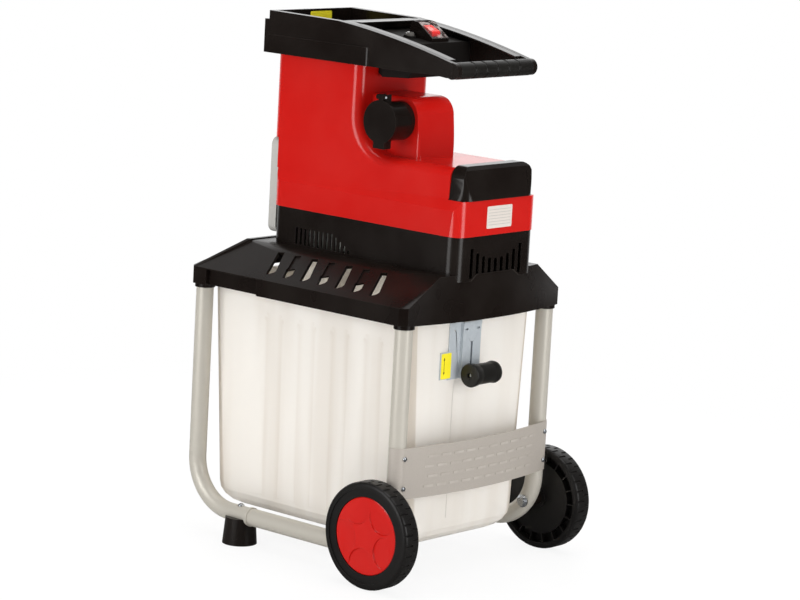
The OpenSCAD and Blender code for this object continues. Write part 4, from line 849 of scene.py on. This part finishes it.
@dataclass
class TubeFrame(SubAssembly):
    """Bent tube legs, feet and the bowed sheet between the rear legs."""

    panel_screw: ScrewSize = ScrewSize(8.5, 3.0, 1.4, 1.5, 4.0, 12.0)
    foot_screw: ScrewSize = ScrewSize(12.0, 4.0, 2.0, 2.0, 6.0, 56.0)

    def build(self, screws: ScrewTree) -> None:
        """Replace the plain screws by ones with a cross recess.

        Args:
            screws: Tree that makes them.
        """
        for name, node, size, facing in (
                ("sheet_screws", "panel_screws", self.panel_screw, X_AXIS),
                ("foot_bolts", "foot_screws", self.foot_screw, Z_AXIS)):
            seats = []
            for low, high in solids(node):
                reach = (high - low).dot(facing) / 2 - size.head_height * MM
                seats.append(Seat((low + high) / 2 + facing * reach, facing))
            mesh = screws.make(name, seats, size, self.palette.of(Trim.SCREW))
            self.place(mesh, Body.CHASSIS, Slot.ZINC, Trim.SCREW, [node])

    def dress(self) -> None:
        """Finish the tubes, feet and sheet."""
        self.wear(Slot.TUBE, "front_leg_left", "front_leg_right", "rear_leg_left",
                  "rear_leg_right", edge_mm=0.6)
        self.wear(Slot.BLACK, "foot_left", "foot_right", edge_mm=1.2)
        self.wear(Slot.PANEL, "brace_panel", edge_mm=0.4)


@dataclass
class Wheels(SubAssembly):
    """Two treaded wheels on stub axles with red hub caps."""

    def dress(self) -> None:
        """Finish the wheels, caps and axles."""
        for side in ("left", "right"):
            self.wear(Slot.WHEEL, f"wheel_{side}", edge_mm=0.5)
            self.wear(Slot.RED, f"hub_cap_{side}", edge_mm=1.1, angle=20)
            self.wear(Trim.SCREW, f"axle_bolt_{side}", edge_mm=0.6)
        self.wear(Slot.BLACK, "axle_spacers", edge_mm=0.4)
        self.wear(Trim.SCREW, "axle_nuts", edge_mm=0.4)


@dataclass
class Deck(SubAssembly):
    """Black tray with slotted slopes that carries the motor unit and the box."""

    def dress(self) -> None:
        """Finish the deck."""
        self.wear(Trim.DECK, "deck", edge_mm=0.9)


@dataclass
class CatchBox(SubAssembly):
    """Milky collecting box with flutes and a moulding seam down its rear wall."""

    seam_y_mm: float = -41.5
    seam_low_mm: float = 92.0
    seam_high_mm: float = 326.0
    seam_w_mm: float = 1.6
    seam_proud_mm: float = 0.5

    def build(self) -> None:
        """Add the moulding seam."""
        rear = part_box("catch_box")[1].x
        length = self.seam_high_mm - self.seam_low_mm
        middle = Vector((rear, self.seam_y_mm * MM, (self.seam_low_mm + length / 2) * MM))
        outline = round_rectangle(self.seam_w_mm, length, self.seam_w_mm / ROUND_END, 3)
        facet = Facet(middle, Y_AXIS, Z_AXIS)
        mesh = sheet("box_seam", [outline], self.seam_proud_mm, 0.0, facet)
        self.place(mesh, Body.BOX, Slot.MILKY, Slot.MILKY)

    def dress(self) -> None:
        """Finish the box."""
        self.wear(Slot.MILKY, "catch_box", edge_mm=1.0, angle=16)


@dataclass
class BoxLock(SubAssembly):
    """Zinc bracket with its slider, the grip and a yellow foil with a double arrow."""

    foil: Foil = Foil(y=-65.5, z=354.5, width=25.0, height=43.0, corner=2.0)
    bracket_sheet_mm: float = 2.0
    arrow_y_mm: float = -5.0
    arrow_h_mm: float = 30.0
    shaft_w_mm: float = 1.0
    head_w_mm: float = 4.0
    head_h_mm: float = 5.0
    end_screw: ScrewSize = ScrewSize(6.5, 1.8, 1.0, 1.0, 3.0, 4.0)
    end_recess_mm: float = 4.0

    def build(self, screws: ScrewTree) -> None:
        """Add the foil, its arrow and the screw in the grip's end.

        Args:
            screws: Tree that makes the screw.
        """
        face_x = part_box("lock_bracket")[0].x + self.bracket_sheet_mm * MM
        face = self.stick("lock_foil", self.foil, face_x, Trim.YELLOW_FOIL)
        arrow = sheet("lock_arrow", self.arrow(), INK_MM, FOIL_MM, face)
        self.place(arrow, Body.CHASSIS, Slot.BLACK, Trim.BLACK_INK)
        low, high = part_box("lock_grip")
        middle = Vector((high.x - (high.z - low.z) / 2, low.y + self.end_recess_mm * MM,
                         (low.z + high.z) / 2))
        finish = self.palette.of(Trim.SCREW)
        mesh = screws.make("grip_screw", [Seat(middle, -Y_AXIS)], self.end_screw, finish)
        self.place(mesh, Body.LOCK, Slot.ZINC, Trim.SCREW)

    def arrow(self) -> list[list[Span]]:
        """Outlines of a double arrow: the shaft and its two heads.

        Returns:
            One outline for each.
        """
        tip = self.arrow_h_mm / 2
        neck = tip - self.head_h_mm
        x, wide, slim = self.arrow_y_mm, self.head_w_mm / 2, self.shaft_w_mm / 2
        return [
            [(x - slim, -neck), (x + slim, -neck), (x + slim, neck), (x - slim, neck)],
            [(x - wide, neck), (x + wide, neck), (x, tip)],
            [(x + wide, -neck), (x - wide, -neck), (x, -tip)],
        ]

    def dress(self) -> None:
        """Finish the bracket, slider, grip and the switch above."""
        self.wear(Slot.ZINC, "lock_bracket", "lock_slider", edge_mm=0.5)
        self.wear(Slot.GRIP, "lock_grip", edge_mm=0.8)
        self.wear(Slot.BLACK, "interlock_switch", edge_mm=0.4)


@dataclass
class MotorHousing(SubAssembly):
    """Black lower shell, red upper shell with the column, end cap, cover and a rating foil."""

    foil: Foil = Foil(y=0.5, z=606.5, width=64.0, height=37.0, corner=2.5)
    rule_count: int = 6
    rule_pitch_mm: float = 5.0
    rule_w_mm: float = 56.0
    rule_h_mm: float = 0.8
    # Patch over a small pit that the solid has in the column's left wall
    patch_mm: tuple[float, float, float] = (-18.5, -90.0, 679.5)
    patch_w_mm: float = 19.0
    patch_h_mm: float = 23.0
    patch_corner_mm: float = 4.0
    patch_thick_mm: float = 0.05

    def build(self) -> None:
        """Close the pit in the left wall and add the ruled rating foil."""
        wall = Facet(Vector(self.patch_mm) * MM, X_AXIS, Z_AXIS)
        outline = round_rectangle(self.patch_w_mm, self.patch_h_mm, self.patch_corner_mm)
        patch = sheet("wall_patch", [outline], self.patch_thick_mm, 0.0, wall)
        self.place(patch, Body.CHASSIS, Slot.RED, Trim.FLUSH)
        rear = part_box("upper_housing")[1].x
        face = self.stick("rating_foil", self.foil, rear, Trim.WHITE_FOIL)
        bar = round_rectangle(self.rule_w_mm, self.rule_h_mm, self.rule_h_mm / ROUND_END, 2)
        heights = [(row - (self.rule_count - 1) / 2) * self.rule_pitch_mm
                   for row in range(self.rule_count)]
        rules = [[(x, y + height) for x, y in bar] for height in heights]
        mesh = sheet("rating_rules", rules, INK_MM, FOIL_MM, face)
        self.place(mesh, Body.CHASSIS, Slot.GREY, Trim.GREY_INK)

    def dress(self) -> None:
        """Finish the shells."""
        self.wear(Slot.BLACK, "base_housing", edge_mm=0.4)
        self.wear(Slot.BLACK, "motor_cap", edge_mm=0.8)
        self.wear(Slot.RED, "upper_housing", edge_mm=1.6, angle=30)
        self.wear(Slot.GREY, "front_cover", edge_mm=1.2)


@dataclass
class Hopper(SubAssembly):
    """Hopper collar with the push handle, its sleeve, the funnel and a bare yellow foil."""

    bar_x_mm: Span = (-46.9, -27.0)
    bar_top_mm: float = 904.0
    rim_x_mm: Span = (-53.0, 199.0)
    rim_end_x_mm: float = 184.0
    rim_top_mm: float = 905.0
    rim_low_mm: float = 860.0
    rim_y_mm: float = 92.1
    # Straight and curved shares of the rim's fall
    rim_fall: Span = (0.55, 0.45)
    lip_mm: float = 16.0
    lip_thick_mm: float = 2.4
    lip_edge_mm: float = 0.7
    lip_gap_mm: float = 0.1
    lip_steps: int = 14
    wall_x_mm: float = -204.0
    foil: Foil = Foil(y=17.0, z=884.0, width=54.0, height=40.0, corner=3.0)

    def rim_height(self, x: float) -> float:
        """Height of the rim's top along the fall to the grip.

        Args:
            x: Place along the part in millimetres.

        Returns:
            The height in millimetres.
        """
        t = (x - self.rim_x_mm[0]) / (self.rim_x_mm[1] - self.rim_x_mm[0])
        straight, curved = self.rim_fall
        fall = straight * t + curved * t * t
        return self.rim_top_mm - (self.rim_top_mm - self.rim_low_mm) * fall

    def bezel(self) -> bpy.types.Mesh:
        """Flat lip round the control panel: a strip on each side rim and one on the cross bar.

        Returns:
            The mesh.
        """
        inner = self.rim_y_mm - self.lip_mm
        near, far = self.bar_x_mm
        runs = [[(near, self.bar_top_mm), (far, self.bar_top_mm)]]
        spans = [(-inner + self.lip_gap_mm, inner - self.lip_gap_mm)]
        stations = [near + (self.rim_end_x_mm - near) * k / self.lip_steps
                    for k in range(self.lip_steps + 1)]
        for low, high in ((-self.rim_y_mm, -inner), (inner, self.rim_y_mm)):
            runs.append([(x, self.rim_height(x)) for x in stations])
            spans.append((low, high))
        work = bmesh.new()
        for run, (low, high) in zip(runs, spans):
            rings = []
            for x, top in run:
                foot = top - self.lip_thick_mm
                corners = ((low, foot), (high, foot), (high, top), (low, top))
                rings.append([work.verts.new(Vector((x, y, z)) * MM) for y, z in corners])
            work.faces.new(rings[0][::-1])
            work.faces.new(rings[-1])
            for ring, after in zip(rings, rings[1:]):
                for i in range(4):
                    j = (i + 1) % 4
                    work.faces.new((ring[i], ring[j], after[j], after[i]))
        bmesh.ops.recalc_face_normals(work, faces=work.faces)
        sharp_angle = 1.0
        sharp = [edge for edge in work.edges if edge.calc_face_angle(0) > sharp_angle]
        bmesh.ops.bevel(work, geom=sharp, offset=self.lip_edge_mm * MM, segments=2,
                        affect="EDGES", profile=0.5)
        mesh = bpy.data.meshes.new("panel_bezel")
        work.to_mesh(mesh)
        work.free()
        return mesh

    def build(self) -> None:
        """Add the lip round the control panel and the foil on the hopper's front wall."""
        self.place(self.bezel(), Body.CHASSIS, Slot.BLACK, Trim.GLOSS)
        self.stick("hopper_foil", self.foil, self.wall_x_mm * MM, Trim.YELLOW_FOIL)

    def dress(self) -> None:
        """Finish the hopper and handle."""
        self.wear(Slot.BLACK, "hopper_top", edge_mm=1.0)
        self.wear(Slot.BLACK, "feed_chute", edge_mm=0.8)
        self.wear(Slot.GRIP, "grip_sleeve", edge_mm=0.6)


@dataclass
class ControlPanel(SubAssembly):
    """Panel behind the hopper with the rocker under its clear hood and the reset button."""

    lid_drop_mm: float = 14.0
    lid_run_mm: float = 120.6
    half_len_mm: float = 26.0
    half_wide_mm: float = 21.0
    side_gap_mm: float = 0.6
    slope_foot_mm: Span = (25.0, 6.6)
    slope_head_mm: Span = (-10.4, 27.0)
    swell_mm: float = 2.6
    # Power of the swelling's fall to the rim: the higher, the flatter its middle
    swell_power: int = 4
    skin_mm: float = 0.6
    steps: int = 20

    def hood(self) -> bpy.types.Mesh:
        """Swollen clear skin over the sloped mouth of the switch frame.

        Returns:
            The mesh.
        """
        low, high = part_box("switch_frame")
        half = self.half_len_mm * MM
        fall = math.atan(self.lid_drop_mm / self.lid_run_mm)
        origin = Vector((low.x + half * math.cos(fall), (low.y + high.y) / 2,
                         low.z + half * math.sin(fall)))
        foot = Vector((self.slope_foot_mm[0], 0, self.slope_foot_mm[1])) * MM
        head = Vector((self.slope_head_mm[0], 0, self.slope_head_mm[1])) * MM
        along = head - foot
        out = Vector((-along.z, 0, along.x)).normalized()
        out = out if out.z > 0 else -out
        wide = (self.half_wide_mm - self.side_gap_mm) * MM
        power = self.swell_power
        work = bmesh.new()
        rows = []
        for i in range(self.steps + 1):
            row = []
            for j in range(self.steps + 1):
                u, v = i / self.steps, 2 * j / self.steps - 1
                rise = (1 - abs(2 * u - 1) ** power) * (1 - abs(v) ** power) * self.swell_mm * MM
                row.append(work.verts.new(foot + along * u + Y_AXIS * v * wide + out * rise))
            rows.append(row)
        for near, far in zip(rows, rows[1:]):
            for j in range(self.steps):
                work.faces.new((near[j], far[j], far[j + 1], near[j + 1]))
        bmesh.ops.recalc_face_normals(work, faces=work.faces)
        everything = work.faces[:] + work.edges[:] + work.verts[:]
        bmesh.ops.solidify(work, geom=everything, thickness=self.skin_mm * MM)
        work.transform(Matrix.Translation(origin) @ Matrix.Rotation(fall, 4, "Y"))
        bmesh.ops.recalc_face_normals(work, faces=work.faces)
        for polygon in work.faces:
            polygon.smooth = True
        # Solidify works in no fixed order, and every run has to give the same mesh
        corners = sorted(work.verts, key=lambda vertex: tuple(vertex.co))
        work.verts.sort(key={vertex: rank for rank, vertex in enumerate(corners)}.get)
        walls = sorted(work.faces, key=lambda polygon: tuple(polygon.calc_center_median()))
        work.faces.sort(key={polygon: rank for rank, polygon in enumerate(walls)}.get)
        mesh = bpy.data.meshes.new("switch_hood")
        work.to_mesh(mesh)
        work.free()
        return mesh

    def build(self) -> None:
        """Add the clear hood."""
        self.place(self.hood(), Body.CHASSIS, Slot.MILKY, Trim.CLEAR)

    def dress(self) -> None:
        """Finish the panel and its controls."""
        self.wear(Trim.MATT, "control_box", edge_mm=0.8)
        self.wear(Slot.BLACK, "switch_frame", edge_mm=0.8)
        self.wear(Trim.LENS, "power_switch", edge_mm=0.8)
        self.wear(Trim.BUTTON, "reset_button", edge_mm=1.0)


@dataclass
class PowerInlet(SubAssembly):
    """Round appliance inlet with its pins and hinged flap."""

    def dress(self) -> None:
        """Finish the inlet."""
        self.wear(Slot.BLACK, "power_inlet", "inlet_cover", edge_mm=1.0)
        self.wear(Slot.BRASS, "inlet_pins", edge_mm=0.5)
        self.wear(Slot.ZINC, "inlet_hinge_pin", edge_mm=0.5)


@dataclass
class Drive(SubAssembly):
    """Roller, gears and motor inside the housings."""

    nodes: tuple[str, ...] = (
        "cutter_housing", "cutting_drum", "drum_shaft", "drum_gear", "pressure_plate",
        "adjusting_screw", "gear_case", "lay_shaft", "lay_gear", "lay_pinion", "motor_stator",
        "motor_rotor", "motor_pinion", "cooling_fan", "bearings")

    def dress(self) -> None:
        """Finish the castings and the machined pieces with the record's slots."""
        slots = {entry["node"]: Slot(entry["material_slot"])
                 for entry in frame["record"]["subparts"]}
        for name in self.nodes:
            self.wear(slots[name], name, edge_mm=0.4)


@dataclass(frozen=True)
class SoftBox:
    """A rectangular lamp in metres and watts, turned to a height on the part's middle line."""

    at: tuple[float, float, float]
    aim: float
    width: float
    height: float
    power: float
    in_gloss: bool = True


class Studio:
    """White product-photo studio: floor, lights and the camera at the photo's place."""

    CAMERA_AT = Vector((3.4293, -3.9277, 1.3472))
    AZIMUTH = math.radians(40.6)
    ELEVATION = math.radians(9.84)
    ROLL = math.radians(3.21)
    FOCAL_PX = 3099.0
    CENTRE_PX = (416.5, 293.9)
    FRAME_PX = (800, 600)
    SENSOR_MM = 36.0
    SIGHT_M = 60.0
    # Direction of the brightest part of the room, behind the machine as the camera sees it
    FAR = Vector((-0.64, 0.75, 0.17))
    SOFT_LIGHT = 0.54
    NEAR_MIRROR = 0.06
    FAR_MIRROR = 1.5
    # Where the brightness for gloss rises: by direction in the room, by metres on the floor
    ROOM_RISE = (0.5, 0.95)
    FLOOR_RISE = (1.0, 4.0)
    LAMPS = {
        "left_strip": SoftBox((-0.3, -2.1, 0.74), 0.6, 1.1, 1.4, 21.0),
        "right_strip": SoftBox((2.1, -0.05, 0.74), 0.6, 0.9, 1.4, 19.0),
        "overhead": SoftBox((0.2, -0.1, 3.6), 0.5, 2.4, 2.4, 60.0),
        "back_box": SoftBox((-1.6, 1.9, 0.9), 0.3, 1.6, 1.4, 45.0, in_gloss=False),
    }
    FLOOR_COLOUR = "F4F4F4"
    FLOOR_RADIUS_M = 9.0
    FLOOR_SIDES = 64
    FLOOR_DROP_MM = 0.5
    # Reach of the floor's plain white from the middle, and the share of it that shows shadow
    FLOOR_FADE_M = (0.7, 1.5)
    FLOOR_SHADE = 0.12

    def build(self) -> None:
        """Set up the whole studio."""
        self.add_world()
        self.add_floor()
        self.add_lamps()
        self.add_camera()
        bpy.context.scene.view_settings.view_transform = "Standard"

    def mirror_light(self, graph: Graph, where: object, rise: Span) -> bpy.types.Node:
        """How bright the room looks to gloss, from the dim camera side to the bright far side.

        Args:
            graph: Tree to add to.
            where: Direction, or place on the floor.
            rise: Lengths along the bright way where the brightness starts to rise and is full.

        Returns:
            The node that gives the strength.
        """
        ahead = graph.add("ShaderNodeVectorMath", (where, self.FAR), operation="DOT_PRODUCT")
        return graph.add("ShaderNodeMapRange", (
            ahead.outputs["Value"], *rise, self.NEAR_MIRROR, self.FAR_MIRROR),
            interpolation_type="SMOOTHSTEP")

    def add_world(self) -> None:
        """White background for the eye, a studio's brightness for gloss, soft light otherwise."""
        world = bpy.data.worlds.new("White studio")
        bpy.context.scene.world = world
        world.use_nodes = True
        graph = Graph(world.node_tree)
        path = graph.add("ShaderNodeLightPath").outputs
        way = graph.add("ShaderNodeTexCoord").outputs["Generated"]
        mirror = graph.add("ShaderNodeMath", (
            path["Is Glossy Ray"], path["Is Transmission Ray"]), operation="MAXIMUM")
        room = graph.add("ShaderNodeMix", {
            "Factor": mirror, "A": self.SOFT_LIGHT,
            "B": self.mirror_light(graph, way, self.ROOM_RISE)})
        seen = graph.add("ShaderNodeMix", {"Factor": path["Is Camera Ray"], "A": room, "B": 1.0})
        light = graph.add("ShaderNodeBackground", {"Color": (1, 1, 1, 1), "Strength": seen})
        graph.add("ShaderNodeOutputWorld", {"Surface": light})

    def add_floor(self) -> None:
        """Pale floor that runs out into the white background."""
        mesh = bpy.data.meshes.new("studio_floor")
        grid = bmesh.new()
        bmesh.ops.create_circle(grid, cap_ends=True, radius=self.FLOOR_RADIUS_M,
                                segments=self.FLOOR_SIDES)
        grid.to_mesh(mesh)
        grid.free()
        floor = bpy.data.objects.new("studio_floor", mesh)
        floor.location.z = -self.FLOOR_DROP_MM * MM
        bpy.context.scene.collection.objects.link(floor)
        paint = Paint("White studio floor")
        path = paint.add("ShaderNodeLightPath").outputs
        glow = paint.add("ShaderNodeMix", {
            "Factor": path["Is Glossy Ray"], "A": 1.0,
            "B": self.mirror_light(paint, paint.place, self.FLOOR_RISE)})
        shine = paint.add("ShaderNodeEmission", {"Color": (1, 1, 1, 1), "Strength": glow})
        paper = paint.add("ShaderNodeBsdfDiffuse", {"Color": linear(self.FLOOR_COLOUR)})
        eye = paint.add("ShaderNodeMath", (
            path["Is Camera Ray"], path["Is Glossy Ray"]), operation="MAXIMUM")
        away = paint.add("ShaderNodeVectorMath", (paint.place,), operation="LENGTH")
        plain = paint.add("ShaderNodeMapRange", (
            away.outputs["Value"], *self.FLOOR_FADE_M, 1 - self.FLOOR_SHADE, 1.0),
            interpolation_type="SMOOTHSTEP")
        share = paint.add("ShaderNodeMath", (eye, plain), operation="MULTIPLY")
        mesh.materials.append(paint.cover(
            paint.add("ShaderNodeMixShader", (share, paper, shine))))

    def add_lamps(self) -> None:
        """Soft boxes on both sides of the camera, one overhead and one behind."""
        for name, box in self.LAMPS.items():
            light = bpy.data.lights.new(name, "AREA")
            light.shape = "RECTANGLE"
            light.size = box.width
            light.size_y = box.height
            light.energy = box.power
            lamp = bpy.data.objects.new(name, light)
            lamp.location = box.at
            way = Vector((0, 0, box.aim)) - Vector(box.at)
            lamp.rotation_euler = way.to_track_quat("-Z", "Y").to_euler()
            lamp.visible_camera = False
            lamp.visible_glossy = box.in_gloss
            bpy.context.scene.collection.objects.link(lamp)

    def add_camera(self) -> None:
        """Camera fitted to the photo's perspective."""
        wide, high = self.FRAME_PX
        camera = bpy.data.cameras.new("photo_camera")
        camera.sensor_width = self.SENSOR_MM
        camera.lens = self.SENSOR_MM * self.FOCAL_PX / wide
        camera.shift_x = (wide / 2 - self.CENTRE_PX[0]) / wide
        camera.shift_y = (self.CENTRE_PX[1] - high / 2) / wide
        camera.clip_end = self.SIGHT_M
        back = Vector((math.sin(self.AZIMUTH) * math.cos(self.ELEVATION),
                       -math.cos(self.AZIMUTH) * math.cos(self.ELEVATION),
                       math.sin(self.ELEVATION)))
        level = Vector((math.cos(self.AZIMUTH), math.sin(self.AZIMUTH), 0.0))
        upright = back.cross(level)
        right = level * math.cos(self.ROLL) + upright * math.sin(self.ROLL)
        up = upright * math.cos(self.ROLL) - level * math.sin(self.ROLL)
        turn = Matrix((right, up, back)).transposed()
        holder = bpy.data.objects.new("photo_camera", camera)
        holder.matrix_world = Matrix.Translation(self.CAMERA_AT) @ turn.to_4x4()
        bpy.context.scene.collection.objects.link(holder)
        bpy.context.scene.camera = holder


def main() -> None:
    """Build and dress every sub-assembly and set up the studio."""
    palette = Palette()
    screws = ScrewTree()
    tube_frame, lock = TubeFrame(palette), BoxLock(palette)
    for assembly in (tube_frame, lock):
        assembly.build(screws)
    box, housing = CatchBox(palette), MotorHousing(palette)
    hopper, panel = Hopper(palette), ControlPanel(palette)
    for assembly in (box, housing, hopper, panel):
        assembly.build()
    for assembly in (tube_frame, Wheels(palette), Deck(palette), box, lock, housing, hopper, panel,
                     PowerInlet(palette), Drive(palette)):
        assembly.dress()
        log.info("dressed %s", type(assembly).__name__)
    Studio().build()


if __name__ == "__main__":
    main()
